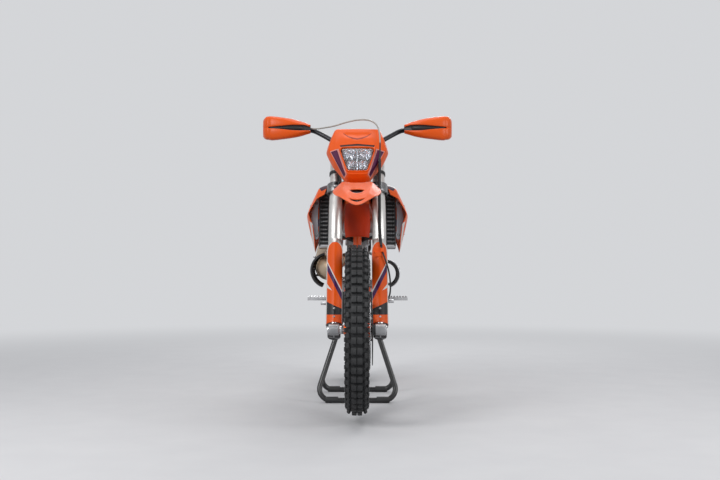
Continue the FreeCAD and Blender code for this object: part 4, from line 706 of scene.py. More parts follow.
feet, lugs = Shape(), Shape()
for side in (1, -1):
    x = side * FORK_X / 1000
    foot = on_fork(side, 0.0)
    feet.turned([(-0.022, 0.0001), (-0.022, 0.024), (-0.018, 0.0275), (0.036, 0.0275), (0.040, 0.0285),
                 (0.062, 0.0285), (0.066, 0.0275), (0.072, 0.0262), (0.074, 0.0242)], foot, AXIS_UP, 56)
    lugs.turned([(x - 0.022, 0.0136), (x - 0.022, 0.022), (x - 0.020, 0.024), (x + 0.020, 0.024),
                 (x + 0.022, 0.022), (x + 0.022, 0.0136)], FRONT_HUB, (1, 0, 0), 56)
    for along in (-14, 16):
        lugs.rod(on_fork(side, along, 26), on_fork(side, along, 52), 0.009, 0.008, 16)
    for along in (-14, 20):
        for across in (-10, 10):
            lugs.bolt(on_fork(side, along, 50, FORK_X + across), AXIS_AHEAD, 0.005)
feet.piece("fork_feet", black_anodised, "steering", bevel=0.0006)
lugs.piece("axle_lugs", cast_alloy, "steering", bevel=0.0006)
print("fork drawn from", [round(v, 3) for v in on_fork(1, 0)], "to", [round(v, 3) for v in on_fork(1, 905)])


# %% [markdown]
# The plastic guards wrap round the front half of each lower leg. They carry the loudest graphics on the
# front of the bike: white edges, a dark slash with a white line over it, and a black band above an orange
# foot. The slash is a flat polygon as seen from the front, so it is written in the scene's x and z; the
# white edges follow the guard's own sides, so they read how far round the leg a point lies.

# %% Fork guards
SHIELD_LOW, SHIELD_HIGH = 34.0, 410.0
SHIELD_ROWS, SHIELD_COLUMNS = 41, 25
SHIELD_RADIUS, KEEL = 34.8, 2.2
ARCH_LOW, ARCH_RISE = 356.0, 56.0   # where the round upper end begins, and how far it rises
FLARE_BELOW = 90.0
TYRE_SIDE = 63.0   # no point of the guard comes nearer to the tyre than this


def guard_rows(side):
    """Rows of points up the guard; each row runs from the inner side round the front to the outer side."""
    rows = []
    for k in range(SHIELD_ROWS):
        along = SHIELD_LOW + (SHIELD_HIGH - SHIELD_LOW) * k / (SHIELD_ROWS - 1)
        top = max(0.0, (along - ARCH_LOW) / ARCH_RISE)
        half_angle = math.radians(97.0) * math.sqrt(max(0.0, 1.0 - min(1.0, top) ** 2.2)) + 0.06
        flare = 1.0 + 0.5 * max(0.0, (FLARE_BELOW - along) / 60.0)
        row = []
        for j in range(SHIELD_COLUMNS):
            turn = (-1 + 2 * j / (SHIELD_COLUMNS - 1)) * half_angle
            radius = SHIELD_RADIUS + flare * 0.9 * math.sin(abs(turn)) ** 2
            keel = KEEL * max(0.0, 1 - abs(turn) / 0.35)
            x = FORK_X + radius * math.sin(turn)
            ahead = FORK_AHEAD + radius * math.cos(turn) + keel
            if turn > 1.2:
                ahead -= 14.0 * (turn - 1.2)
            row.append(fork(side * max(x, TYRE_SIDE), ahead, along))
        rows.append(row)
    return rows


def guard_finish():
    """Orange guard plastic with its white edges and slanting stripes."""
    def edges(f):
        across = f.math("ABSOLUTE", f.add("ShaderNodeAttribute", attribute_name="across").outputs["Fac"])
        return f.step(across, 0.64, 0.655)

    stickers = [(decal("XZ", [(131, 668), (131, 652), (60, 510), (60, 532)]), WHITE),
                (decal("XZ", [(131, 660), (131, 628), (60, 490), (60, 522)]), PURPLE),
                (decal("XZ", [(131, 570), (131, 552), (106, 540)]), WHITE),
                (decal("XZ", [(60, 462), (135, 496), (135, 440), (60, 440)]), STRIPE_BLACK),
                (edges, WHITE)]
    return plastic("guard_plastic", ORANGE, 0.36, stickers)


def across_attribute(made):
    """Stores how far along its row each point lies, from -1 to 1."""
    columns = SHIELD_COLUMNS
    values = [-1 + 2 * (i % columns) / (columns - 1) for i in range(len(made.data.vertices))]
    layer = made.data.attributes.new("across", "FLOAT", "POINT")
    layer.data.foreach_set("value", values)


guard_plastic = guard_finish()
for side, label, solid in ((1, "left", "fork_protectors"), (-1, "right", None)):
    guard = Shape()
    guard.skin(guard_rows(side))
    across_attribute(guard.piece(f"fork_guard_{label}", guard_plastic, "steering", thick=0.0028, levels=1,
                                 replaces=solid))

details = Shape()
for side in (1, -1):
    for along in (58, 96):
        details.bolt(on_fork(side, along, 57.5), AXIS_AHEAD, 0.0042)
    details.rod(on_fork(side, 30, 40), on_fork(side, 36, 40), 0.016, 0.017, 24)
details.hardware("fork_guard_bolts", bright_steel, "steering")
black_feet = Shape()
for side in (1, -1):
    rows = []
    for along, radius in ((22, 31.0), (26, 33.4), (60, 33.8), (66, 32.6)):
        rows.append([fork(side * max(62.8, FORK_X + radius * math.sin(t)), FORK_AHEAD + radius * math.cos(t), along)
                     for t in [math.radians(-100 + 200 * j / 24) for j in range(SHIELD_COLUMNS)]])
    black_feet.skin(rows)
black_feet.piece("fork_guard_feet", black_plastic, "steering", thick=0.002, levels=1)
print("fork guards ready")


# %% [markdown]
# The front fender is one moulding: a pointed beak, a broad deck with a low spine, a notched neck between
# the fork tubes, and a flap that hangs behind them over the tyre. Rows of points run across it from edge to
# edge, and a smooth curve is laid through them along the bike. The edges turn down, and a rib under each
# edge keeps the real one from flapping.

# %% Front fender
def both_sides(half):
    """A whole row across the bike, from its left half, which starts on the middle line."""
    return [Vector((-p.x, p.y, p.z)) for p in half[:0:-1]] + half


FENDER = [
    # y, height of the spine, half width, how far the edge drops, height of the side ridge
    (-1086, 842, 4, 1, 0), (-1072, 848, 18, 2, 0), (-1050, 858, 32, 3, 1), (-1018, 873, 51, 6, 3),
    (-985, 888, 68, 9, 5), (-950, 899, 80, 14, 7), (-915, 910, 89, 18, 8), (-850, 927, 97, 22, 9),
    (-760, 946, 97, 26, 10), (-690, 956, 94, 27, 9),
    (-640, 961, 80, 24, 7), (-600, 964, 68, 20, 5), (-540, 968, 62, 18, 4), (-480, 966, 60, 17, 3),
    (-420, 959, 56, 13, 2), (-385, 946, 54, 9, 1), (-356, 930, 54, 8, 0), (-322, 905, 54, 8, 0),
    (-296, 875, 55, 9, 0), (-278, 840, 57, 10, 0), (-267, 800, 58, 11, 0), (-262, 745, 52, 12, 0),
]


def fender_row(y, high, half, drop, ridge):
    """One row across the fender: flat deck, side ridge, shoulder, edge."""
    shares = [0.0, 0.22, 0.44, 0.58, 0.68, 0.80, 0.90, 0.97, 1.0]
    falls = [0.0, 0.03, 0.10, 0.10, 0.22, 0.42, 0.66, 0.88, 1.0]
    lifts = [0.0, 0.05, 0.35, 1.0, 0.75, 0.2, 0.0, 0.0, 0.0]
    slope = 0.0 if y > -350 else 1.0
    left = []
    for share, fall, lift in zip(shares, falls, lifts):
        down = drop * fall - ridge * lift * slope
        if y > -300:
            left.append(bike(half * share, y + down, high - 0.4 * down))
        else:
            left.append(bike(half * share, y, high - down))
    return both_sides(left)


fender_rows = flow([fender_row(*row) for row in FENDER], 96)
fender = Shape()
fender.skin(fender_rows)
# The flap behind the fork legs is a darker orange: painted shade under the fender's deck.
fender_plastic = plastic("fender_plastic", ORANGE, 0.40, [
    (decal("XY", [(0, -352), (80, -352), (80, -280), (0, -280)]), (0.52, 0.034, 0.004)),
], coat=0.05)
fender_shell = fender.piece("front_fender_shell", fender_plastic, "steering", thick=0.0035, levels=1,
                            replaces="front_fender", weld=True)
print("fender", len(fender_rows), "rows,", len(fender_shell.data.vertices), "points")


# %% [markdown]
# Air reaches the radiators through slots in the fender. They are cut by a boolean, with prisms that stand
# through the sheet, so each slot has real walls. A black sheet under the deck is painted shade behind them.

# %% Slots in the front fender
def evaluated_mesh(thing):
    """The mesh that an object's modifiers make."""
    graph = bpy.context.evaluated_depsgraph_get()
    return bpy.data.meshes.new_from_object(thing.evaluated_get(graph))


def cut_slots(thing, outlines, low, high):
    """Cuts prisms out of a sheet; each outline is x and y in the bike's millimetres, low and high its z."""
    cutter = Shape()
    for outline in outlines:
        cutter.skin([[bike(x, y, z) for x, y in outline] for z in (low, high)], closed=True, caps=True)
    prisms = linked("cutter", cutter.data("cutter"))
    slots = thing.modifiers.new("slots", "BOOLEAN")
    slots.operation = "DIFFERENCE"
    slots.solver = "EXACT"
    slots.object = prisms
    cut = evaluated_mesh(thing)
    thing.modifiers.clear()
    thing.data = cut
    bpy.data.objects.remove(prisms)
    return len(cut.vertices)


vent = [(0, -972), (17, -958), (29, -925), (26, -908), (12, -897), (-12, -897), (-26, -908), (-29, -925), (-17, -958)]
lower_vent = [(0, -1060), (20, -1047), (33, -1024), (14, -1030), (0, -1032), (-14, -1030), (-33, -1024), (-20, -1047)]
notch = [(61, -655), (74, -735), (86, -790), (90, -786), (82, -730), (70, -652)]
points_left = cut_slots(fender_shell, [vent, lower_vent, notch, [(-x, y) for x, y in notch[::-1]]], 700, 1100)
# A black sheet under the deck, as painted shade behind the slots.
shade_sheet = Shape()
shade_sheet.skin(flow([[bike(x * half, y, z) for x in (-1, -0.5, 0, 0.5, 1)] for y, half, z in
                ((-1066, 18, 842), (-1030, 34, 857), (-960, 52, 884), (-880, 60, 908), (-780, 64, 930),
                 (-640, 62, 946))], 30))
shade_sheet.piece("fender_slot_shade", black_plastic, "steering", thick=0.002, levels=1, weld=True)
print("slots cut,", points_left, "points")


# %% [markdown]
# The headlight mask is a thin shell with a window. Seen from the front it is a shield: flat on top, widest
# beside the lamp, and pulled in under it. Rings of points run round it, the first at its back edge and the
# last at the window's inner edge, so the bright frame round the lamp and the dark inlays beside it fall
# where the real mould has them. A shallow smile is pressed into the brow.

# %% Headlight mask
MASK_OUTLINE = [(0, 957), (60, 956.5), (106, 955), (116, 930), (126, 900), (135, 868), (141, 838), (126, 800),
                (108, 762), (90, 738), (74, 716), (62, 698), (54, 686), (26, 683), (0, 682)]
MASK_WINDOW = [(0, 833), (40, 833), (64, 832), (72, 829), (74, 820), (66, 790), (56, 758), (46, 726), (42, 718),
               (37, 715), (24, 714.5), (0, 714.5)]
OUTLINE_MIDDLE, WINDOW_MIDDLE = 815.0, 774.0
MASK_POINTS = 35   # points of each ring on one side of the mask


def closed_ring(half):
    """A closed ring of fork points, from the half on the left of the middle line."""
    return half + [(-x, ahead, along) for x, ahead, along in half[-2:0:-1]]


def mask_ring(outline, inset, ahead, grow=0.0):
    """A closed ring of points: the outline drawn in by inset, or let out by grow, at one distance ahead."""
    share = max(0.0, 1 - inset / 112.0)
    half = []
    for point in resample([(x, y, 0) for x, y in outline], MASK_POINTS):
        along = OUTLINE_MIDDLE + (point.y - OUTLINE_MIDDLE) * (1 - inset / 150.0)
        away = Vector((point.x, along - WINDOW_MIDDLE))
        away *= 1.0 + grow / away.length
        half.append((away.x * share, ahead, WINDOW_MIDDLE + away.y))
    return closed_ring(half)


SMILE_LOW, SMILE_HIGH, SMILE_HALF, SMILE_DEPTH = 892.0, 916.0, 64.0, 7.0


def smile(x, along):
    """How deep the smile is pressed in at a point of the brow."""
    low = SMILE_LOW + 0.0042 * x * x
    high = SMILE_HIGH + 0.0012 * x * x
    inside = min((along - low) / 3.0, (high - along) / 3.0, (SMILE_HALF - abs(x)) / 4.0)
    return SMILE_DEPTH * max(0.0, min(1.0, inside))


def mask_face_ahead(x, along):
    """The face bulges forward in the middle and falls back to the brow."""
    return 147.0 - 0.00062 * x * x - 0.0010 * max(0.0, along - 850.0) ** 1.9


rings = [mask_ring(MASK_OUTLINE, inset, ahead) for inset, ahead in ((0, 92), (2, 104), (7, 124), (11, 132))]
frame_out = mask_ring(MASK_WINDOW, 0, 152, 9.0)
for share in (0.10, 0.22, 0.36, 0.5, 0.64, 0.78, 0.90, 1.0):
    ring = []
    for (x0, a0, z0), (x1, _, z1) in zip(rings[3], frame_out):
        x, along = x0 + (x1 - x0) * share, z0 + (z1 - z0) * share
        settle = min(1.0, share * 2.2)
        ahead = a0 + (mask_face_ahead(x, along) - a0) * settle
        ring.append((x, ahead - smile(x, along), along))
    rings.append(ring)
rings += [mask_ring(MASK_WINDOW, 0, ahead, grow) for ahead, grow in ((154, 7.0), (154, 1.5), (149, 0.0), (138, 0.0))]
mask = Shape()
mask.skin([[fork(*point) for point in ring] for ring in rings], closed=True)

# The smile's lower edge lies in shade: three flat runs of a darker orange, by x and by the z of both lines.
SHADED_ORANGE = (0.34, 0.030, 0.003)
SMILE_EDGE = [(0, 1206, 1214), (21, 1209.5, 1217), (42, 1219, 1225), (63, 1236, 1239)]
smile_edge = [(decal("XZ", [(x0, low0), (x1, low1), (x1, high1), (x0, high0)]), SHADED_ORANGE)
              for (x0, low0, high0), (x1, low1, high1) in zip(SMILE_EDGE, SMILE_EDGE[1:])]
mask_plastic = plastic("mask_plastic", ORANGE, 0.36, [
    (decal("XZ", [(122, 1152), (84, 1164), (46, 1044), (57, 1028), (64, 1040)]), (0.72, 0.30, 0.26)),
    (decal("XZ", [(118, 1149), (90, 1158), (52, 1044), (58, 1034), (63, 1042)]), (0.085, 0.008, 0.050)),
    *smile_edge,
    (decal("XZ", [(78, 1180), (0, 1186), (0, 1176), (74, 1171)]), (0.030, 0.012, 0.010)),
])
mask.piece("headlight_mask_shell", mask_plastic, "steering", thick=0.003, levels=2, replaces="headlight_mask",
           weld=True)
print("mask", len(rings), "rings of", len(rings[0]), "points")


# %% Clips that hold the mask to the fork
straps = Shape()
for side in (1, -1):
    for along in (765, 852):
        centre = on_fork(side, along)
        straps.turned([(0.0, 0.0275), (0.0, 0.0305), (0.014, 0.0305), (0.014, 0.0275)], centre, AXIS_UP, 40, True)
        straps.box(fork(side * 66 - 5, FORK_AHEAD + 24, along), fork(side * 66 + 5, 96, along + 13))
straps.piece("mask_straps", hose_rubber, "steering", bevel=0.0008)


# %% [markdown]
# The lamp is a box of mirrors behind a clear cover. The unit is deeper than it looks: a dark housing, a
# divided reflector whose bowls throw the beam, and four round lenses in dark rings. Looking through a real
# clear cover costs little at this size, and it makes the lamp read as a lamp from every side.

# %% Headlamp
LAMP_MIDDLE = 776


def window_loop(scale, ahead):
    """The window's outline scaled about the lamp's middle, as a closed loop of scene points."""
    half = [(p.x * scale, ahead, LAMP_MIDDLE + (p.y - LAMP_MIDDLE) * scale)
            for p in resample([(x, y, 0) for x, y in MASK_WINDOW], 41)]
    return [fork(*p) for p in closed_ring(half)]


def squared(wave):
    """A sine or cosine made fuller, so that a circle becomes a rounded square."""
    return math.copysign(abs(wave) ** 0.6, wave)


housing = Shape()
housing.skin([window_loop(scale, ahead) for scale, ahead in
              ((0.60, 72), (0.74, 74), (0.93, 98), (0.965, 138), (0.93, 138), (0.90, 112))], closed=True)
housing.piece("lamp_housing", black_plastic, "steering", angle=40, replaces="headlamp", weld=True)

bowls = Shape()
for x_mid, along_mid, wide, high, depth in ((-34, 804, 30, 25, 26), (34, 804, 30, 25, 26),
                                            (-25, 750, 20, 27, 24), (25, 750, 20, 27, 24)):
    bowls.skin([[fork(x_mid + wide * r * squared(math.cos(t)), 110 + depth * r ** 2.2,
                      along_mid + high * r * squared(math.sin(t))) for t in round_angles(32)]
                for r in [k / 8 for k in range(1, 9)]], closed=True)
bowls.box(fork(-3.5, 108, 722), fork(3.5, 132, 828))
bowls.piece("lamp_bowls", reflector, "steering", angle=60)
eyes, eye_rings = Shape(), Shape()
for x_mid, along_mid, radius in ((-34, 804, 0.015), (34, 804, 0.015), (-25, 748, 0.009), (25, 748, 0.009)):
    centre = fork(x_mid, 112, along_mid)
    eyes.turned([(0.0, radius), (0.006, radius * 0.96), (0.012, radius * 0.75), (0.0155, radius * 0.4),
                 (0.0165, 0.0002)], centre, AXIS_AHEAD, 32)
    eye_rings.turned([(-0.002, radius), (-0.002, radius + 0.003), (0.003, radius + 0.003), (0.003, radius)],
                     centre, AXIS_AHEAD, 32, True)
eyes.piece("lamp_lenses", lamp_cover, "steering", angle=60, weld=True)
eye_rings.piece("lamp_lens_rings", black_plastic, "steering", bevel=0.0004, weld=True)
cover = Shape()
cover.skin([window_loop(scale, ahead) for scale, ahead in
            ((0.95, 140), (0.955, 148), (0.93, 152), (0.80, 154.5), (0.5, 156), (0.2, 156.4))], closed=True)
cover.mesh.faces.new([cover.mesh.verts.new(p) for p in window_loop(0.2, 156.4)])
cover.piece("lamp_clear_cover", lamp_cover, "steering", thick=0.0022, levels=1, angle=60, weld=True)


# %% [markdown]
# ## Wheels
# A knobbly tyre is a thin round carcass with rubber blocks moulded on it. The carcass is one profile turned
# about the axle. The blocks stand square to the carcass in rows: pairs across the crown that drive and
# brake, knobs between them, and edge knobs that lean outward and grip in turns. One list of rows says
# where they sit, and the pattern repeats round the wheel.

# %% Carcass and blocks
def carcass_line(points, x):
    """Radius and outward lean of the carcass at a distance from the wheel's middle."""
    side = abs(x)
    for (x0, r0), (x1, r1) in zip(points, points[1:]):
        if side <= x1:
            slope = (r1 - r0) / (x1 - x0)
            return r0 + slope * (side - x0), math.copysign(math.atan2(-slope, 1.0), x)
    return points[-1][1], 0.0


def block(shape, hub, angle, radius, x, lean, size):
    """One tyre block: size is its width across, length round the tyre and height, in millimetres."""
    round_off, taper, sunk = 0.0016, 0.10, 0.003
    wide, long, high = (v / 1000 for v in size)
    outward = Vector((math.sin(lean), 0.0, math.cos(lean)))
    across = Vector((math.cos(lean), 0.0, -math.sin(lean)))
    spin = Matrix.Rotation(angle, 3, "X")
    base = Vector((x / 1000, 0, radius / 1000)) - outward * sunk
    rings = []
    for level, share, inset in ((0.0, 1.0 + taper, 0.0), (high + sunk - round_off, 1.0, 0.0),
                                (high + sunk, 1.0, round_off)):
        w, l = wide / 2 * share - inset, long / 2 * share - inset
        cut = min(0.0022, w * 0.4)
        corners = [(w, l - cut), (w - cut, l), (cut - w, l), (-w, l - cut), (-w, cut - l), (cut - w, -l),
                   (w - cut, -l), (w, cut - l)]
        rings.append([hub + spin @ (base + outward * level + across * a + Vector((0, b, 0))) for a, b in corners])
    grid = shape.skin(rings, closed=True)
    shape.mesh.faces.new(grid[-1])


def knobbly(name, hub, body, line, profile, rows, count):
    """A carcass and its blocks; rows are (x, width, length, height, phase) and repeat count times."""
    carcass = Shape()
    ring = [(x / 1000, r / 1000) for x, r in profile]
    ring = [(-x, r) for x, r in ring[::-1]] + ring[1:]
    inner = [(x * 0.93, r - 0.004) for x, r in ring[::-1]]
    carcass.turned(ring + inner, hub, (1, 0, 0), 120, closed=True)
    carcass.piece(name + "_carcass", tyre_rubber, body, angle=24, replaces=name, weld=True)
    blocks = Shape()
    for k in range(count):
        for x, wide, long, high, phase in rows:
            for side in ((1, -1) if x else (1,)):
                radius, lean = carcass_line(line, side * x)
                turn = 2 * math.pi * (k + phase) / count
                block(blocks, hub, turn, radius, side * x, lean, (wide, long, high))
    made = blocks.piece(name + "_blocks", tyre_rubber, body, angle=38)
    print(name, count * len(rows), "rows of blocks,", len(made.data.polygons), "faces")


FRONT_LINE = [(0, 337.5), (12, 337), (22, 334.5), (31, 329.5), (37, 321), (40, 312), (41.5, 300)]
FRONT_PROFILE = [(0, 337.5), (12, 337), (22, 334.5), (31, 329.5), (37, 321.5), (40.6, 311), (41.3, 303), (40.4, 302),
                 (40.0, 297), (37.0, 290), (36.6, 287.5), (32, 284.5), (26, 282.5), (22.5, 281.5), (20.0, 279),
                 (20.1, 268)]
FRONT_ROWS = [
    (10.9, 19.5, 25.0, 12.6, 0.0), (30.5, 12.5, 20.0, 13.0, 0.5), (39.2, 12.0, 19.0, 9.6, 0.0),
    (38.6, 9.0, 11.0, 8.6, 0.5),
]
knobbly("front_tyre", FRONT_HUB, "front_wheel", FRONT_LINE, FRONT_PROFILE, FRONT_ROWS, count=54)

REAR_LINE = [(0, 324), (18, 323), (34, 319.5), (46, 313), (55, 302), (60, 290), (61, 280)]
REAR_PROFILE = [(0, 324), (18, 323), (34, 319.5), (46, 313), (55, 302.5), (60, 289), (61.5, 277), (60.4, 275.5),
                (59.5, 268), (55, 257), (54.4, 254), (47, 248), (38, 244.5), (31, 243.5), (27.2, 241), (27.2, 230)]
REAR_ROWS = [
    (13.5, 23.0, 26.0, 15.6, 0.0), (34.0, 15.0, 24.0, 16.0, 0.0), (24.0, 17.0, 20.0, 15.8, 0.5),
    (45.0, 13.0, 20.0, 16.0, 0.5), (55.8, 16.0, 24.0, 12.6, 0.0), (56.4, 13.0, 12.0, 11.0, 0.5),
]
knobbly("rear_tyre", REAR_HUB, "rear_wheel", REAR_LINE, REAR_PROFILE, REAR_ROWS, count=44)


# %% [markdown]
# The rims are rolled from a welded strip: two hooked flanges for the tyre, and a well that is pushed in
# between them so that the spoke nipples sit at an angle. Each wheel has 36 crossed spokes. Neighbouring
# spokes leave opposite sides of the hub, and every second pair leans the other way, which is what lets a
# wire wheel carry driving and braking.

# %% Rims, spokes and hubs
SPOKES = 36
SPOKE_LEAN = math.radians(52)


def around(x, radius, angle):
    """A point about the axle, in millimetres."""
    return Vector((x, radius * math.cos(angle), radius * math.sin(angle)))


def lacing():
    """For every spoke: its side of the hub, which way it leans, and its angles at the rim and at the hub."""
    for index in range(SPOKES):
        side = 1 if index % 2 else -1
        lean = 1 if index % 4 < 2 else -1
        rim_angle = 2 * math.pi * index / SPOKES
        yield side, lean, rim_angle, rim_angle + lean * SPOKE_LEAN


def wire_wheel(name, hub, body, seat_r, rim_w, flange_r, flange_x, spoke_r, hub_profile):
    """Rim, nipples, spokes and hub of one wheel, in millimetres about its axle."""
    half, outer = rim_w / 2.0, rim_w / 2.0 + 3.5
    section = [(outer - 0.6, seat_r + 12), (outer, seat_r + 11), (outer, seat_r + 7.5), (outer - 2.0, seat_r + 5.5),
               (outer - 2.2, seat_r - 4), (outer - 5.0, seat_r - 8), (0.34 * outer, seat_r - 16),
               (0.28 * outer, seat_r - 17)]
    ring = [(-x, r) for x, r in section] + [(x, r) for x, r in section[::-1]]
    well = [(half + 1.4, seat_r + 12), (half, seat_r + 10.5), (half, seat_r + 1), (half - 8, seat_r - 1.5),
            (0.3 * outer, seat_r - 12), (0.2 * outer, seat_r - 13)]
    ring += [(x, r) for x, r in well] + [(-x, r) for x, r in well[::-1]]
    rim = Shape()
    rim.turned([(x / 1000, r / 1000) for x, r in ring], hub, (1, 0, 0), 144, closed=True)
    rim.piece(name + "_rim_ring", black_anodised, body, angle=32, replaces=name + "_rim", weld=True)

    spokes, nipples, heads = Shape(), Shape(), Shape()
    for side, lean, rim_angle, hub_angle in lacing():
        start = around(side * (flange_x + lean * 2.5), flange_r, hub_angle)
        end = around(side * 5.0, seat_r - 17.8, rim_angle)
        run = (end - start).normalized()
        start, end = hub + start / 1000, hub + end / 1000
        spokes.rod(start, end, spoke_r / 1000, sides=10)
        spokes.rod(start - run * 0.002, start + run * 0.004, spoke_r / 1000 * 1.8, spoke_r / 1000 * 1.1, 10)
        nipples.rod(end - run * 0.014, end + run * 0.004, 0.0029, 0.0036, 8)
        nipples.rod(end - run * 0.016, end - run * 0.014, 0.0024, 0.0029, 8)
        at = hub + around(side * flange_x, flange_r, hub_angle) / 1000
        heads.rod(at - Vector((0.0045, 0, 0)), at + Vector((0.0045, 0, 0)), 0.0032, sides=12)
    spokes.piece(name + "_spokes", bright_steel, body)
    nipples.piece(name + "_nipples", orange_anodised, body, angle=30)

    shell = Shape()
    shell.turned([(x / 1000, r / 1000) for x, r in hub_profile], hub, (1, 0, 0), 96, closed=True)
    shell.piece(name + "_hub_shell", orange_anodised, body, angle=28, replaces=name + "_hub", weld=True)
    heads.piece(name + "_spoke_heads", bright_steel, body)
    valve = Shape()
    well_r = (seat_r - 17) / 1000
    top = hub + Vector((0, 0, well_r))
    valve.rod(top, top - Vector((0, 0, 0.026)), 0.0040, 0.0032, 14)
    valve.rod(top, top - Vector((0, 0, 0.004)), 0.0062, sides=6)
    lock = hub + Vector((0, -well_r * math.sin(0.5), -well_r * math.cos(0.5)))
    inward = (hub - lock).normalized()
    valve.rod(lock, lock + inward * 0.024, 0.004, sides=14)
    valve.rod(lock, lock + inward * 0.007, 0.0068, sides=6)
    valve.hardware(name + "_valve_and_lock", bright_steel, body)


FRONT_HUB_PROFILE = [
    (-55, 13.2), (-55, 20), (-54, 21), (-38, 24), (-37, 38), (-36, 40), (-29, 40), (-28, 38), (-25, 25), (-12, 22),
    (12, 22), (25, 25), (28, 38), (29, 40), (36, 40), (37, 38), (40, 31), (46, 36), (48, 42), (52.2, 42),
    (52.2, 13.2)]
wire_wheel("front", FRONT_HUB, "front_wheel", seat_r=267.0, rim_w=41.0, flange_r=36.0, flange_x=32.0, spoke_r=2.0,
           hub_profile=FRONT_HUB_PROFILE)
REAR_HUB_PROFILE = [
    (-69.8, 12.8), (-69.8, 40), (-64, 40), (-60, 33), (-50, 30), (-41, 34), (-40, 44), (-39, 46), (-33, 46),
    (-32, 44), (-28, 34), (-14, 29), (14, 29), (30, 34), (33, 44), (34, 46), (40, 46), (41, 42), (42, 38), (56, 44),
    (62, 58), (68, 58), (68, 12.8)]
wire_wheel("rear", REAR_HUB, "rear_wheel", seat_r=229.0, rim_w=55.0, flange_r=42.0, flange_x=36.0, spoke_r=2.2,
           hub_profile=REAR_HUB_PROFILE)
print("wheels ready")


# %% [markdown]
# The brake discs are cut from steel sheet with a wavy edge and rows of holes, which scrape mud off the pads
# and keep the disc cool. A flat outline with holes, given a thickness, is the quickest and the most
# faithful way to draw what was cut from sheet.

# %% Brake discs
DISC_HOLE, DISC_BOLTS = 0.040, 0.048   # radius of the disc's hole, and of the circle of its bolts


def wavy(radius, waves, depth, count):
    """A closed outline whose radius goes in and out."""
    return [polar(radius - depth * (0.5 - 0.5 * math.cos(waves * a)) ** 2, a) for a in round_angles(count)]


def brake_disc(name, hub, body, x, radius, thickness, node):
    """A wavy disc with its slots, arms and bolts."""
    band = radius - 0.030
    windows = []
    for k in range(6):
        a0, a1 = math.radians(60 * k + 9), math.radians(60 * k + 51)
        outer = [polar(band, a0 + (a1 - a0) * i / 12) for i in range(13)]
        inner = [polar(0.056, a1 - 0.18 - (a1 - a0 - 0.3) * i / 8) for i in range(9)]
        windows.append(outer + inner)
    holes = [circle(0.0031, 14, polar(band + (0.008, 0.015, 0.022)[k % 3], a))
             for k, a in enumerate(round_angles(36))]
    plate(name, [wavy(radius, 12, 0.004, 240), circle(DISC_HOLE, 48)] + windows + holes, thickness,
          along_x(x, hub), bright_steel, body, replaces=node)
    bolts = Shape()
    side = math.copysign(1, x)
    for a in round_angles(6):
        at = Vector((x + side * thickness / 2, hub.y + DISC_BOLTS * math.cos(a), hub.z + DISC_BOLTS * math.sin(a)))
        bolts.bolt(at, (side, 0, 0), 0.0045)
    bolts.hardware(name + "_bolts", black_anodised, body)


brake_disc("front_brake_disc", FRONT_HUB, "front_wheel", x=0.054, radius=0.130, thickness=0.0036, node="front_disc")
brake_disc("rear_brake_disc", REAR_HUB, "rear_wheel", x=-0.072, radius=0.110, thickness=0.0040, node="rear_disc")
print("discs ready")


# %% [markdown]
# ## Handlebar and controls
# The bar is one bent tube, and everything on it is clamped round it, so each piece is placed by how far in
# from the bar's end it sits. The grips are moulded rubber with small ribs, the levers are forged and
# flattened, and the perches are two half clamps with two screws each.

# %% Places along the bar
BAR_END, BAR_KNEE = (403, -20, 1036), (205, 8, 1022)


def on_bar(side, inward, ahead=0.0, up=0.0):
    """A point beside the straight end of the bar: inward from its end, ahead of it and above it."""
    share = inward / math.dist(BAR_END, BAR_KNEE)
    x, a, z = (e + (k - e) * share for e, k in zip(BAR_END, BAR_KNEE))
    return fork(side * x, a + ahead, z + up)


def along_bar(side, *places):
    """Several such points, each written as (inward, ahead, up)."""
    return [on_bar(side, *place) for place in places]


def bar_inward(side):
    """The direction from the bar's end to its middle."""
    return (on_bar(side, 10) - on_bar(side, 0)).normalized()


bar_shape = Shape()
right_half = [BAR_END, (260, 0.2, 1025.9), (222, 5.6, 1023.2), (205, 8.5, 1019), (190, 10.5, 1011),
              (170, 12.3, 998), (112, 17.2, 957), (100, 18.2, 949.5), (84, 18, 945.5), (68, 18, 945)]
line = [fork(-x, a, z) for x, a, z in right_half] + [fork(x, a, z) for x, a, z in right_half[::-1]]
sizes = [0.011] * 7 + [0.0122, 0.0138, 0.0143]
bar_shape.sweep(line, sizes + sizes[::-1], 28, flat_axis=(0, 1, 0), steps=5)
bar_shape.piece("handlebar_tube", black_anodised, "steering", angle=50, replaces="handlebar", weld=True)
knurl = Shape()
for k in range(60):
    for side in (1, -1):
        x = side * (30 + 36 * k / 60)
        knurl.turned([(0.0, 0.01425), (0.00015, 0.01455), (0.0003, 0.01425)], fork(x, 18, 945), (1, 0, 0), 40)
knurl.piece("handlebar_knurl", bright_steel, "steering", weld=True)

grips = Shape()
for side in (1, -1):
    profile = [(-0.002, 0.004), (-0.002, 0.0155), (-0.0005, 0.0165), (0.004, 0.0165)]
    for k in range(38):
        at = 0.006 + 0.0027 * k
        waist = 0.0007 * math.sin(math.pi * k / 37)
        profile += [(at, 0.0148 - waist), (at + 0.0004, 0.0162 - waist), (at + 0.0014, 0.0162 - waist),
                    (at + 0.0018, 0.0148 - waist)]
    profile += [(0.112, 0.0155), (0.113, 0.0215), (0.117, 0.0220), (0.1185, 0.0212), (0.1185, 0.0115)]
    grips.turned(profile, on_bar(side, 0), bar_inward(side), 40)
grips.piece("handlebar_grips", grip_rubber, "steering", angle=30, replaces="grips", weld=True)

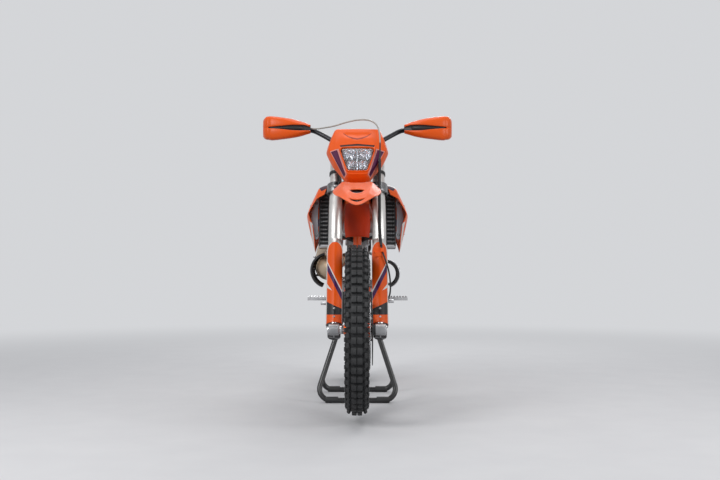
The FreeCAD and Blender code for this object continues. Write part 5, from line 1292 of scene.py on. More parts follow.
perches, screws, levers, tanks = Shape(), Shape(), Shape(), Shape()
for side in (1, -1):
    perches.turned([(0.131, 0.0112), (0.131, 0.0155), (0.132, 0.0168), (0.150, 0.0168), (0.151, 0.0155),
                    (0.151, 0.0112)], on_bar(side, 0), bar_inward(side), 32, True)
    perches.sweep(along_bar(side, (141, 12, 0), (139, 24, -6), (133, 33, -12)), [0.011, 0.010, 0.0085], 20)
    for up in (13.05, -13.05):
        screws.bolt(on_bar(side, 141, 9, up), AXIS_AHEAD, 0.0036)
    levers.sweep(along_bar(side, (139, 30, -8), (120, 41, -19), (92, 47, -22), (50, 45, -23), (14, 42, -24),
                           (4, 43, -24)), [0.0075, 0.0066, 0.0060, 0.0056, 0.0056, 0.0080], 18, flat=0.62)
    screws.bolt(on_bar(side, 136, 31, 0), AXIS_UP, 0.0048)
    tanks.sweep(along_bar(side, (124, 22, -8), (128, 22, -8), (152, 20, -10), (156, 20, -10)),
                [0.0105, 0.0125, 0.0125, 0.0105], 24)
    lid_ends = list(zip(*along_bar(side, (126, 21, 2), (154, 19, 1))))
    tanks.box([min(pair) - grow for pair, grow in zip(lid_ends, (0.0, 0.011, 0.0))],
              [max(pair) + grow for pair, grow in zip(lid_ends, (0.0, 0.011, 0.006))])
    for inward_at in (131, 149):
        screws.bolt(on_bar(side, inward_at, 20, 9), (0, 0, 1), 0.0024, flange=False)
    perches.sweep(along_bar(side, (157, 0, 0), (160, 0, 0), (176, 1, 0), (180, 1, 0)),
                  [0.0135, 0.0165, 0.0165, 0.0130], 22)
perches.piece("lever_perches", black_anodised, "steering", bevel=0.0006, replaces="control_levers")
screws.hardware("control_screws", bright_steel, "steering")
levers.piece("hand_levers", black_anodised, "steering", angle=60, weld=True)
tanks.piece("fluid_reservoirs", black_plastic, "steering", bevel=0.0012)
print("controls ready")


# %% [markdown]
# The handguards are two-part mouldings: an upper blade that catches the light, a dark slot that lets air
# and water through, and a lower blade that tucks under. A black sheet behind the slot is painted shade.
# They close into one angular end past the grip. The arm that holds each one is a separate black piece
# clamped to the bar.

# %% Handguards
GUARD_ROWS = [
    # x, front y, low z, lower and upper edge of the slot, high z
    (216, -222, 1224, 1236, 1258, 1264), (240, -231, 1216, 1235, 1258, 1273), (262, -239, 1208, 1234, 1258, 1279),
    (300, -249, 1199, 1234, 1257, 1288), (345, -250, 1193, 1239, 1253, 1295), (390, -244, 1189, 1243, 1250, 1301),
    (409, -235, 1193, 1245, 1249, 1302),
]


def guard_section(front, low, slot_low, slot_high, high):
    """Points (y, z) across the lower blade, and across the upper blade."""
    lower = [(front + 30, low), (front + 20, low + 1), (front + 11, low + 4), (front + 4, low + 11),
             (front, low + 0.6 * (slot_low - low)), (front + 0.5, slot_low - 2), (front + 3, slot_low)]
    upper = [(front + 3, slot_high), (front + 0.5, slot_high + 2), (front, slot_high + 0.3 * (high - slot_high)),
             (front + 3, high - 14), (front + 9, high - 6), (front + 17, high - 1.5), (front + 26, high)]
    return lower, upper


def guard_side(side):
    """Both blades, the closed end, and a black sheet behind the slot as painted shade, of one guard."""
    shell, dark = Shape(), Shape()
    smooth = flow([[Vector((x, front, low)), Vector((slot_low, slot_high, high))]
                   for x, front, low, slot_low, slot_high, high in GUARD_ROWS], 34)
    lowers, uppers, slot_shade_rows = [], [], []
    for (x, front, low), (slot_low, slot_high, high) in smooth:
        lower, upper = guard_section(front, low, slot_low, slot_high, high)
        lowers.append([bike(side * x, y, z) for y, z in lower])
        uppers.append([bike(side * x, y, z) for y, z in upper])
        slot_shade_rows.append([bike(side * x, front + 12, slot_high + 3), bike(side * x, front + 14, slot_high),
                      bike(side * x, front + 14, slot_low), bike(side * x, front + 12, slot_low - 3)])
    shell.skin(lowers)
    shell.skin(uppers)
    ends = [lowers[-1] + uppers[-1]]
    x, front, low, slot_low, slot_high, high = GUARD_ROWS[-1]
    lower, upper = guard_section(front, low, slot_low, slot_high, high)
    for out, push, shrink in ((414, 1, 1.0), (422, 7, 0.97), (430, 17, 0.86), (435, 28, 0.74), (437, 38, 0.66)):
        ends.append([bike(side * out, min(y + push, -190), 1247 + (z - 1247) * shrink)
                     for y, z in lower + upper])
    shell.skin(ends)
    dark.skin(slot_shade_rows)
    return shell, dark


for side, label, solid in ((1, "left", "handguards"), (-1, "right", None)):
    shell, dark = guard_side(side)
    shell.piece(f"handguard_{label}", orange_plastic, "steering", thick=0.003, levels=1, replaces=solid, weld=True)
    # A black sheet behind the slot: painted shade.
    dark.piece(f"handguard_slot_shade_{label}", black_plastic, "steering", thick=0.002, weld=True)

arms = Shape()
for side in (1, -1):
    arms.sweep([on_bar(side, 163, 2, 0), on_bar(side, 160, 24, -3), bike(side * 250, -206, 1246),
                bike(side * 262, -222, 1247), bike(side * 300, -235, 1246), bike(side * 352, -236, 1246)],
               [0.0120, 0.0115, 0.0110, 0.0095, 0.0075, 0.0050], 18, flat=1.25, steps=8)
    arms.turned([(0.155, 0.0112), (0.155, 0.0165), (0.173, 0.0165), (0.173, 0.0112)], on_bar(side, 0),
                bar_inward(side), 32, True)
arms.piece("handguard_arms", black_plastic, "steering", angle=45)
print("handguards ready")


# %% [markdown]
# The front brake hose starts at the right lever, rises over the mask in a free arc, and comes down the left
# fork leg through a clip on the guard to the caliper. It is a real length of stiff hose, about 1.3 m, so it
# is one smooth curve whose control points are the same as the source's. Its upper stretch wears a pale
# wound sleeve against chafing.

# %% Brake hose
HOSE = [
    (-261, 29.3, 1016), (-253, 38, 1021), (-224, 34, 1015), (-186, 46, 1004), (-148, 70, 995), (-104, 90, 990),
    (-52, 106, 1000), (4, 124, 1002), (54, 140, 990), (88, 152, 958), (101, 158, 905), (101, 159, 830),
    (99, 148, 765), (98, 112, 708), (97, 82, 650), (98, 69, 580), (96, 66, 500), (99, 66, 425), (106, 68, 362),
    (124, 60, 312), (138, 40, 268), (143, 10, 222), (140, -14, 186), (122, -29, 158), (94, -30, 138),
    (75, -24, 120), (67, -28.5, 102),
]
sleeve = Finish("hose_sleeve", roughness=0.42)
height = sleeve.add("ShaderNodeSeparateXYZ", {0: sleeve.coords}).outputs["Z"]
upper_part = sleeve.step(height, 1.185, 1.195)
coils = sleeve.add("ShaderNodeTexWave",
                   {"Vector": sleeve.stretched((1.0, 1.0, 1.0)), "Scale": 160.0, "Distortion": 1.0})
pale_coil = sleeve.mix(coils.outputs["Fac"], (0.30, 0.28, 0.25), (0.52, 0.50, 0.46))
dark_coil = sleeve.mix(sleeve.noise(300.0), (0.012, 0.012, 0.013), (0.024, 0.024, 0.026))
sleeve.done(Base_Color=sleeve.mix(upper_part, dark_coil, pale_coil),
            Normal=sleeve.bump(coils.outputs["Fac"], 0.35, 0.0006),
            Roughness=sleeve.blend(upper_part, 0.50, 0.34))
hose = tube("front_brake_hose", [fork(*p) for p in HOSE], 0.0035, sleeve.material, "steering",
            replaces="brake_hose", resolution=8)
hose_line = hose.copy()
hose_line.data = hose.data.copy()
hose_line.data.bevel_depth = 0.0
measured = bpy.data.meshes.new_from_object(hose_line)
hose_path = [v.co.copy() for v in measured.vertices]
bpy.data.objects.remove(hose_line)
print("hose", round(sum((b - a).length for a, b in zip(hose_path, hose_path[1:])), 3), "m")
low_end, high_end = fork(0, 66, 380), fork(0, 150, 775)
covered = [p for p in hose_path if low_end.z < p.z < high_end.z and p.y < low_end.y + 0.2 and p.x > 0.09][::3]
wrap = Shape()
wrap.sweep(covered, [0.0095] + [0.0120] * (len(covered) - 2) + [0.0095], 20, flat=0.55, flat_axis=(1, 0, 0), steps=2)
wrap_fabric = rubber("hose_wrap", (0.012, 0.012, 0.013), roughness=0.62, dust=0.18, scale=900.0)
hose_cover = wrap.piece("hose_cover", wrap_fabric, "steering", angle=60, weld=True)
fittings = Shape()
for first, second in ((HOSE[0], HOSE[1]), (HOSE[-1], HOSE[-2])):
    start, toward = fork(*first), fork(*second)
    run = (toward - start).normalized()
    fittings.rod(start - run * 0.001, start + run * 0.012, 0.0046, 0.0042, 16)
    fittings.rod(start + run * 0.001, start + run * 0.005, 0.0062, sides=6)
fittings.hardware("hose_fittings", bright_steel, "steering")
clip = Shape()
clip.box(fork(70, 58, 360) - Vector((0.0, 0.006, 0.003)), fork(114, 58, 376) + Vector((0.0, 0.006, 0.003)))
clip.box(fork(76, 56, 338) - Vector((0.0, 0.004, 0.0)), fork(104, 56, 362) + Vector((0.0, 0.004, 0.0)))
clip.turned([(-0.009, 0.0040), (-0.009, 0.0080), (0.009, 0.0080), (0.009, 0.0040)], fork(106, 68, 362), AXIS_UP,
            24, True)
clip.piece("hose_clip", orange_plastic, "steering", bevel=0.0012)


# %% [markdown]
# ## Body parts
# The radiators lean back by twelve degrees, so they are drawn upright and then leaned. Each has a finned
# core between two welded tanks, and a black grille of slanting louvres in front of it that keeps stones
# off. A pale strip with a screwed eye at each end ties the grille to the shroud. The fins are thin boxes in
# rows, because from a step away it is their lines that say what the block is.

# %% Radiators
LEAN = Matrix.Translation(bike(0, -208, 692)) @ Matrix.Rotation(math.radians(-12), 4, "X")


def mm(x, y, z):
    """A local point in millimetres, in metres."""
    return Vector((x, y, z)) / 1000.0


def leaned(shape):
    """Turns a shape drawn upright, in local metres, to where the left radiator stands, and mirrors it."""
    return shape.moved(LEAN).mirror()


def soft_corners(points):
    """A line whose corners are cut short, so that a smooth curve through it keeps them tight."""
    reach = 0.16
    made = [points[0]]
    for before, corner, after in zip(points, points[1:], points[2:]):
        made += [corner.lerp(before, reach), corner.lerp(after, reach)]
    return made + [points[-1]]


def smooth_line(points, count):
    """Points on a smooth line through the given ones."""
    return [row[0] for row in flow([[Vector(p)] for p in points], count)]


tanks = Shape()
for low, high in ((-2, 24), (246, 272)):
    middle = (low + high) / 2
    rows = []
    for x, shrink in ((92, 0.7), (94, 1.0), (174, 1.0), (176, 0.7)):
        rows.append([mm(x, 19.5 * shrink * math.cos(a), middle + 13 * shrink * math.sin(a))
                     for a in [math.pi * (k + 0.5) / 12 for k in range(24)]])
    tanks.skin(rows, closed=True, caps=True)
for x in (94, 172):
    tanks.box(mm(x - 2, -17, 10), mm(x + 2, 17, 258))
tanks.rod(mm(120, 0, 268), mm(120, 0, 284), 0.013, 0.012, 24)
tanks.rod(mm(10, 0, 64), mm(96, 0, 64), 0.009, sides=24)
leaned(tanks).piece("radiator_tanks", brushed_can, "chassis", bevel=0.0008, replaces="radiators")

cores = Shape()
for k in range(7):
    x = 101 + 11.0 * k
    cores.box(mm(x - 1, -15.5, 22), mm(x + 1, 15.5, 248))
for k in range(74):
    z = 25 + 3.0 * k
    cores.box(mm(96, -15, z), mm(172, 15, z + 0.5))
leaned(cores).piece("radiator_cores", cast_alloy, "chassis")

grille = Shape()
for k in range(13):
    z = 20 + 19.0 * k
    grille.box(mm(97, -31, z - 1.2), mm(171, -17, z + 1.2), Matrix.Rotation(math.radians(-34), 4, "X"))
for x0, x1 in ((92, 98), (170, 176)):
    grille.box(mm(x0, -32, 8), mm(x1, -13, 262))
grille.box(mm(132, -29, 12), mm(136, -18, 258))
leaned(grille).piece("radiator_grilles", black_plastic, "chassis", bevel=0.0008)

strips, strip_bolts = Shape(), Shape()
rows = []
for z, x, half, ahead in ((38, 187, 3, -27), (46, 188, 8, -29), (58, 188, 10, -30), (72, 190, 9, -31),
                          (100, 194, 13, -33), (135, 197, 15, -34), (165, 195, 13, -33), (192, 191, 9, -32),
                          (206, 189, 10, -31), (220, 188, 8, -30), (228, 187, 3, -28)):
    rows.append([mm(x - half, ahead + 3.5, z), mm(x - half * 0.8, ahead + 0.6, z), mm(x, ahead, z),
                 mm(x + half * 0.8, ahead + 0.6, z), mm(x + half, ahead + 3.5, z)])
strips.skin(flow(rows, 40))
strip_plastic = plastic("strip_plastic", (0.46, 0.48, 0.52), roughness=0.46, grain=0.2, coat=0.0)
leaned(strips).piece("radiator_strips", strip_plastic, "chassis", thick=-0.0026, levels=1)
for z, x in ((56, 188), (206, 189)):
    strip_bolts.rod(mm(x, -26, z), mm(x, -33.5, z), 0.0078, 0.0072, 24)
    strip_bolts.bolt(mm(x, -33.2, z), (0, -1, 0), 0.0042)
    strip_bolts.rod(mm(x, -27, z), mm(170, -22, z), 0.0035, sides=12)
leaned(strip_bolts).hardware("radiator_strip_bolts", black_anodised, "chassis")

hoses = Shape()
for side in (1, -1):
    hoses.sweep([bike(side * 120, -152, 964), bike(side * 112, -146, 990), bike(side * 70, -140, 996),
                 bike(side * 52, -132, 968)], [0.0105, 0.0105, 0.0105, 0.0105], 20, steps=8)
    hoses.sweep([bike(side * 100, -196, 752), bike(side * 60, -190, 748), bike(side * 30, -170, 738),
                 bike(side * 14, -120, 730)], [0.0115, 0.0115, 0.0112, 0.0110], 20, steps=8)
hoses.piece("radiator_hoses", hose_rubber, "chassis", angle=60)
print("radiators ready")


# %% [markdown]
# The shrouds are the widest shells of the chassis. Seen from ahead each is a thin bright line, because the
# sheet runs nearly straight back. Seen from the side it carries the graphics: slanting bars that go on over
# the side panel. The rows give the sheet's folds at nine places along the bike, and each fold is kept tight
# by cutting its corner short before the smooth curve goes through.

# %% Radiator shrouds
SHROUD = [
    # y, then x and z down the sheet's outer side
    (-262, [(150, 938), (187, 918), (226, 851), (204, 798)]),
    (-236, [(140, 968), (183, 947), (231, 847), (196, 728)]),
    (-205, [(131, 986), (178, 970), (234, 842), (194, 674)]),
    (-150, [(127, 991), (178, 972), (226, 845), (192, 688)]),
    (-80, [(123, 991), (176, 966), (212, 850), (184, 716)]),
    (0, [(112, 984), (148, 954), (172, 862), (160, 762)]),
    (60, [(105, 974), (124, 940), (142, 868), (136, 800)]),
    (130, [(101, 954), (115, 923), (127, 868), (124, 822)]),
    (190, [(97, 929), (108, 905), (116, 868), (114, 838)]),
]


def folded_sheet(rows, count, columns, side):
    """Rows of points along a folded sheet, from the folds given at a few places along the bike."""
    lines = [smooth_line(soft_corners([bike(side * x, y, z) for x, z in line]), columns) for y, line in rows]
    return flow(lines, count)


shroud_graphics = [
    (decal("XZ", [(150, 1030), (182, 1010), (164, 984), (124, 1004), (124, 1030)]), (0.045, 0.006, 0.020)),
    (decal("YZ", [(-300, 838), (-243, 702), (-228, 702), (-286, 846)]), WHITE),
    (decal("YZ", [(-232, 722), (-150, 740), (160, 900), (160, 862), (-60, 742)]), STRIPE_BLACK),
    (decal("YZ", [(-236, 748), (-168, 766), (158, 932), (158, 910), (-150, 752)]), WHITE),
    (decal("YZ", [(-250, 800), (-180, 806), (60, 938), (64, 918), (-172, 778), (-240, 772)]), PURPLE),
]
shroud_plastic = plastic("shroud_plastic", ORANGE, 0.36, shroud_graphics, coat=0.12)
for side, label, solid in ((1, "left", "radiator_shrouds"), (-1, "right", None)):
    shroud = Shape()
    shroud.skin(folded_sheet(SHROUD, 60, 31, side))
    shroud.piece(f"shroud_{label}", shroud_plastic, "chassis", thick=0.0034, levels=1, replaces=solid)
shroud_bolts = Shape()
for y, z, x in ((-168, 890, 213), (-190, 760, 211), (40, 905, 140)):
    shroud_bolts.bolt(bike(x, y, z), (1, -0.05, 0.35), 0.0055)
    shroud_bolts.rod(bike(x - 34, y, z), bike(x - 1, y, z), 0.007, sides=16)
shroud_bolts.mirror().hardware("shroud_bolts", black_anodised, "chassis")
print("shroud plastic ready")


# %% [markdown]
# The tank is blow moulded, which gives it soft corners and slightly swollen sides.
# The sheet runs from one lower edge over the top to the other, with the tunnel for the frame left open
# below. The cap is a separate turning with finger lobes.

# %% Fuel tank
TANK = [
    # y, half width low and high, z low and high
    (-172, 43, 34, 947, 1002), (-160, 56, 44, 940, 1009), (-110, 91, 66, 902, 1020), (-40, 94, 70, 892, 1016),
    (30, 95, 71, 880, 1005), (95, 90, 66, 870, 986), (148, 83, 58, 861, 958),
]


def tank_row(y, low_half, high_half, low, high):
    """One row over the tank, from its right lower edge to its left one."""
    middle = low + (high - low) * 0.58
    half = [(low_half, low), (low_half + 0.5, (low + middle) / 2), (low_half, middle),
            (low_half * 0.45 + high_half * 0.55, high - 0.18 * (high - low)), (high_half * 0.88, high - 2),
            (high_half * 0.45, high + 0.5), (0, high + 1)]
    left = [bike(x, y, z) for x, z in half]
    right = [bike(-x, y, z) for x, z in half[-2::-1]]
    return smooth_line(left + right, 49)


tank_plastic = plastic("tank_plastic", (0.020, 0.020, 0.021), grain=0.35, coat=0.0)
tank = Shape()
tank_rows = flow([tank_row(*row) for row in TANK], 44)
tank.skin(tank_rows)
for end, push in ((tank_rows[0], -0.004), (tank_rows[-1], 0.003)):
    middle = sum((Vector(p) for p in end), Vector()) / len(end)
    rings = []
    for share in (1.0, 0.9, 0.6, 0.25):
        rings.append([middle.lerp(p, share) + Vector((0, push * (1 - share), 0)) for p in end])
    tank.skin(rings)
tank.piece("fuel_tank_shell", tank_plastic, "chassis", thick=0.003, levels=1, replaces="fuel_tank", weld=True)
cap = Shape()
cap_foot = bike(0, -84, 1016)
cap.turned([(0.0, 0.034), (0.003, 0.034), (0.004, 0.0325), (0.004, 0.020)], cap_foot, (0, 0, 1), 64)
rows = []
for up, radius in ((0.003, 0.0268), (0.005, 0.0280), (0.0105, 0.0280), (0.0122, 0.0262), (0.0122, 0.012),
                   (0.0105, 0.010), (0.0105, 0.0005)):
    lobes = 0.0016 if radius > 0.02 else 0.0
    rows.append([cap_foot + Vector((*polar(radius + lobes * math.cos(9 * a), a), up)) for a in round_angles(108)])
cap.skin(rows, closed=True)
cap.piece("fuel_cap", black_plastic, "chassis", angle=40)
print("tank rows", len(tank_rows))


# %% [markdown]
# The seat is firm foam under a stretched vinyl cover, wide over the tail and narrow where the rider's knees
# meet the tank. A closed form a little smaller than the real one is remeshed into even faces, blown up by
# cloth pressure with its underside pinned to the base, and held back so that it never swells by more than a
# few millimetres. The seams come after that: a channel is pressed in along each shoulder, and the thread's
# stitches are laid beside it.

# %% Seat form
SEAT = [
    # y, half width low and high, z low and high
    (36, 30, 22, 1008, 1014), (60, 42, 28, 992, 1008), (120, 60, 40, 952, 994), (230, 82, 53, 871, 971),
    (330, 87, 62, 868, 963), (420, 90, 67, 869, 963), (520, 88, 69, 880, 967), (620, 86, 71, 895, 971),
    (700, 80, 67, 906, 977), (770, 74, 60, 915, 981), (788, 66, 50, 920, 978),
]


def seat_row(y, low_half, high_half, low, high):
    """A closed row round the seat: flat below, swollen flanks, a tight shoulder and a crowned top."""
    shrink = 3.0
    low_half, high_half, high, low = low_half - shrink, high_half - shrink, high - shrink, low + 1.0
    shoulder = high - min(16.0, 0.35 * (high - low))
    waist = (low + shoulder) / 2
    side = [(0, low), (low_half * 0.6, low), (low_half, low), (low_half + 0.5, low + 0.25 * (shoulder - low)),
            (high_half + 0.72 * (low_half - high_half), waist), (high_half + 0.35 * (low_half - high_half), shoulder),
            (high_half * 0.93, high - 3.0), (high_half * 0.60, high), (0, high + 2.0)]
    right = [bike(x, y, z) for x, z in side]
    left = [bike(-x, y, z) for x, z in side[-2:0:-1]]
    return right + left


seat_form = Shape()
seat_form.skin(flow([seat_row(*row) for row in SEAT], 70), closed=True, caps=True)
seat_pad = seat_form.piece("seat_pad", seat_vinyl, "chassis", replaces="seat", weld=True)


def remeshed(thing, voxel):
    """Swaps the object's mesh for one of even faces."""
    even = thing.modifiers.new("even", "REMESH")
    even.mode = "VOXEL"
    even.voxel_size = voxel
    even.use_smooth_shade = True
    data = evaluated_mesh(thing)
    thing.modifiers.remove(even)
    thing.data = data


def blown_up(thing, pinned_below, pressure, cap, frames):
    """Swells the mesh as a stretched cover, keeping what lies below a height function pinned."""
    rest = [v.co.copy() for v in thing.data.vertices]
    held = thing.vertex_groups.new(name="held")
    held.add([i for i, co in enumerate(rest) if co.z < pinned_below(co.y)], 1.0, "REPLACE")
    cover = thing.modifiers.new("cover", "CLOTH")
    cover.settings.quality = 5
    cover.settings.mass = 0.3
    cover.settings.tension_stiffness = cover.settings.compression_stiffness = 25.0
    cover.settings.use_pressure = True
    cover.settings.uniform_pressure_force = pressure
    cover.settings.vertex_group_mass = "held"
    cover.settings.effector_weights.gravity = 0.0
    cover.point_cache.frame_start, cover.point_cache.frame_end = 1, frames
    for frame_number in range(1, frames + 1):
        bpy.context.scene.frame_set(frame_number)
    swollen = evaluated_mesh(thing)
    for vertex, start in zip(thing.data.vertices, rest):
        moved = swollen.vertices[vertex.index].co - start
        vertex.co = start + moved * min(1.0, cap / max(moved.length, 1e-9))
    thing.modifiers.remove(cover)
    bpy.data.meshes.remove(swollen)
    bpy.context.scene.frame_set(1)


def between(rows, at, column):
    """A column of a table of rows, read off at a place between them; the first column is the place."""
    for first, second in zip(rows, rows[1:]):
        if at <= second[0]:
            share = max(0.0, (at - first[0]) / (second[0] - first[0]))
            return first[column] + (second[column] - first[column]) * share
    return rows[-1][column]


def seat_measure(y, column):
    """A measure of the seat in millimetres, at a place along the scene in metres."""
    return between(SEAT, y * 1000 + SHIFT_AHEAD, column)


def seat_base(y):
    """Height below which the cover is pinned to the seat's base, in metres."""
    return (seat_measure(y, 3) + LIFT + 9) / 1000


remeshed(seat_pad, 0.008)
blown_up(seat_pad, seat_base, pressure=6.0, cap=0.005, frames=10)
settle = seat_pad.modifiers.new("settle", "SMOOTH")
settle.iterations = 3
settle.factor = 0.4
rounding = seat_pad.modifiers.new("rounding", "SUBSURF")
rounding.levels = rounding.render_levels = 1
smoothed = evaluated_mesh(seat_pad)
seat_pad.modifiers.clear()
seat_pad.data = smoothed
seat_pad.data.shade_smooth()
print("seat", len(seat_pad.data.vertices), "points")


# %% Seat seams and stitches
def seam_half(y):
    """Half the distance between the two shoulder seams, in metres."""
    return seat_measure(y, 2) / 1000 + 0.002


def seat_middle(y):
    """A height half way up the seat's side, in metres."""
    return (seat_measure(y, 3) * 0.45 + seat_measure(y, 4) * 0.55 + LIFT) / 1000


SEAM_DEPTH, SEAM_WIDTH = 0.0020, 0.0042
for vertex in seat_pad.data.vertices:
    co = vertex.co
    if co.z > seat_middle(co.y) and co.y > 0.03:
        off = abs(abs(co.x) - seam_half(co.y))
        vertex.co = co - vertex.normal * SEAM_DEPTH * math.exp(-(off / SEAM_WIDTH) ** 2)
seat_pad.data.materials.append(seat_side)
for face in seat_pad.data.polygons:
    centre = face.center
    on_side = centre.z < seat_middle(centre.y) or abs(centre.x) > seam_half(centre.y)
    face.material_index = 1 if on_side else 0

seat_tree = bvhtree.BVHTree.FromPolygons([v.co.copy() for v in seat_pad.data.vertices],
                                         [tuple(f.vertices) for f in seat_pad.data.polygons])
SEAM_FROM, SEAM_TO = 0.040, 0.735
STITCH, STITCH_STEP, THREAD = 0.0042, 0.0062, 0.0006
ABOVE_SEAT = 1.2
stitches = Shape()
sewn = 0
for side in (1, -1):
    for gap in (-SEAM_WIDTH, SEAM_WIDTH):
        y = SEAM_FROM
        while y < SEAM_TO:
            ends = []
            for at in (y, y + STITCH):
                x = side * (seam_half(at) + gap)
                hit = seat_tree.ray_cast(Vector((x, at, ABOVE_SEAT)), Vector((0, 0, -1)))
                ends.append(hit[0] + hit[1] * 0.0003 if hit[0] else None)
            if all(ends):
                stitches.rod(ends[0], ends[1], THREAD, sides=6)
                sewn += 1
            y += STITCH_STEP
stitch_thread = rubber("stitch_thread", (0.10, 0.10, 0.105), roughness=0.6, dust=0.2, scale=900.0)
stitches.piece("seat_stitches", stitch_thread, "chassis")
print("stitches", sewn)


# %% [markdown]
# The side panels go on under the seat. The left one lies close to the frame; the right one stands out over
# the exhaust and ends at the silencer. The rear fender is drawn like the front one, from rows across it,
# with the lamp seated under its tip.

# %% Side panels, rear fender and tail lamp
LEFT_PANEL = [(205, [(106, 866), (118, 832), (122, 780), (120, 700)]),
              (265, [(103, 865), (118, 836), (123, 776), (119, 682)]),
              (330, [(100, 862), (114, 835), (120, 780), (116, 690)]),
              (400, [(99, 868), (112, 842), (119, 788), (113, 712)]),
              (480, [(98, 872), (110, 850), (116, 800), (110, 740)]),
              (570, [(96, 885), (105, 866), (110, 830), (106, 792)]),
              (660, [(94, 896), (100, 884), (104, 860), (102, 838)])]
RIGHT_PANEL = [(205, [(112, 868), (164, 846), (184, 790), (180, 720)]),
               (330, [(106, 864), (158, 846), (176, 796), (168, 734)]),
               (420, [(102, 870), (152, 854), (168, 812), (161, 762)]),
               (500, [(98, 876), (144, 862), (160, 830), (156, 798)])]
panel_graphics = [
    (decal("YZ", [(165, 780), (165, 830), (640, 930), (640, 905)]), WHITE),
    (decal("YZ", [(165, 742), (165, 768), (640, 900), (640, 878)]), STRIPE_BLACK),
    (decal("YZ", [(165, 712), (165, 730), (480, 852), (480, 838)]), PURPLE),
]
panel_plastic = plastic("panel_plastic", ORANGE, 0.36, panel_graphics, coat=0.12)
for rows, side, label, solid in ((LEFT_PANEL, 1, "left", "side_panels"), (RIGHT_PANEL, -1, "right", None)):
    panel = Shape()
    panel.skin(folded_sheet(rows, 44, 25, side))
    panel.piece(f"side_panel_{label}", panel_plastic, "chassis", thick=0.0034, levels=1, replaces=solid)
panel_bolts = Shape()
for x, y, z, out in ((119, 226, 712, 1), (115, 420, 806, 1), (-183, 232, 760, -1), (-166, 430, 806, -1)):
    panel_bolts.bolt(bike(x, y, z), (out, 0, 0.1), 0.005)
for x0, x1, y, z in ((76, 100, 420, 862), (104, 118, 222, 700), (-76, -108, 420, 866)):
    panel_bolts.rod(bike(x0, y, z), bike(x1, y, z), 0.005, sides=16)
panel_bolts.hardware("side_panel_bolts", black_anodised, "chassis")

TAIL = [(600, 850, 66, 24, 0), (650, 862, 74, 28, 3), (700, 872, 80, 30, 5), (800, 888, 86, 30, 8),
        (900, 908, 84, 26, 8), (960, 921, 80, 23, 7), (1020, 934, 74, 20, 5), (1080, 943, 64, 16, 3),
        (1120, 948, 55, 13, 1), (1138, 949, 44, 10, 0)]


def tail_row(y, high, half, drop, ridge):
    """One row across the rear fender: a hollow middle between two ridges, shoulders and turned down edges."""
    shares = [0.0, 0.25, 0.50, 0.60, 0.70, 0.82, 0.92, 1.0]
    falls = [0.12, 0.10, 0.06, 0.0, 0.10, 0.34, 0.66, 1.0]
    return both_sides([bike(half * share, y, high - drop * fall - ridge * max(0.0, 0.5 - share))
                       for share, fall in zip(shares, falls)])


tail_plastic = plastic("tail_plastic", ORANGE, 0.36, [
    (decal("XY", [(86, 600), (60, 600), (36, 1020), (52, 1020)]), WHITE),
], coat=0.12)
tail = Shape()
tail.skin(flow([tail_row(*row) for row in TAIL], 70))
tail.piece("rear_fender_shell", tail_plastic, "chassis", thick=0.0036, levels=1, replaces="rear_fender", weld=True)



def lamp_block(sections, cut):
    """A block through sections (y, half width, low, high) whose four corners are cut off."""
    rows = []
    for y, half, low, high in sections:
        rows.append([bike(x, y, z) for x, z in (
            (-half, low + cut), (-half + cut, low), (half - cut, low), (half, low + cut),
            (half, high - cut), (half - cut, high), (-half + cut, high), (-half, high - cut))])
    made = Shape()
    made.skin(rows, closed=True, caps=True)
    return made


lamp_body = lamp_block([(1096, 22, 916, 940), (1100, 30, 908, 942), (1122, 33, 906, 943), (1127, 32, 907, 942)], 5)
lamp_body.piece("tail_lamp_body", black_plastic, "chassis", bevel=0.0008, replaces="tail_lamp")
lamp_glass = lamp_block([(1126, 30, 909, 940), (1130, 29, 910, 939), (1132.5, 26, 913, 936)], 4)
lamp_glass.piece("tail_lamp_cover", red_cover, "chassis", bevel=0.001)
print("tail ready")


# %% [markdown]
# ## Engine, exhaust and drive
# A two-stroke's pipe is rolled from sheet cones and welded, and its swelling belly is tuned to the engine.
# A bar of changing thickness along a smooth line draws it, with a weld bead where each cone meets the next.
# The black guard beside the belly, and its twin on the other side, show from ahead as dark rounds with a
# bright rim.

# %% Expansion pipe and guards
PIPE = [
    # x, y, z, radius
    (-28, -110, 655, 22), (-55, -160, 648, 24), (-98, -200, 625, 36), (-134, -168, 605, 57),
    (-142, -70, 627, 57), (-148, 40, 680, 49), (-150, 130, 728, 35), (-146, 210, 760, 25),
    (-138, 300, 785, 20), (-130, 420, 800, 18.6), (-130, 519, 812, 18.6),
]
pipe = Shape()
pipe.sweep([bike(x, y, z) for x, y, z, _ in PIPE], [r / 1000 for *_, r in PIPE], 40, steps=8)
pipe.piece("exhaust_pipe", heat_tinted, "chassis", angle=60, replaces="expansion_pipe", weld=True)
beads = Shape()
centres = [row[0] for row in flow([[bike(*row[:3])] for row in PIPE], 81)]
sizes = [row[0].x for row in flow([[Vector((row[3] / 1000, 0, 0))] for row in PIPE], 81)]
for k in range(4, 78, 4):
    low, high = sizes[k] - 0.0004, sizes[k] + 0.0010
    beads.turned([(-0.0022, low), (-0.0012, high), (0.0012, high), (0.0022, low)], centres[k],
                 centres[k + 1] - centres[k - 1], 48)
beads.piece("exhaust_welds", heat_tinted, "chassis", angle=70)
flange = Shape()
run = bike(-28, -108, 655) - bike(-20, -60, 655)
flange.turned([(-0.006, 0.0262), (-0.006, 0.031), (-0.001, 0.031), (0.0, 0.0262)], bike(-28, -108, 655), run, 40, True)
for side in (1, -1):
    flange.bolt(bike(-27 + side * 33, -104, 655), (0, -1, 0), 0.0045)
    flange.box(bike(-27 + side * 33 - 8, -104, 647), bike(-27 + side * 33 + 8, -98, 663))
flange.piece("exhaust_flange", bright_steel, "chassis", bevel=0.0005)


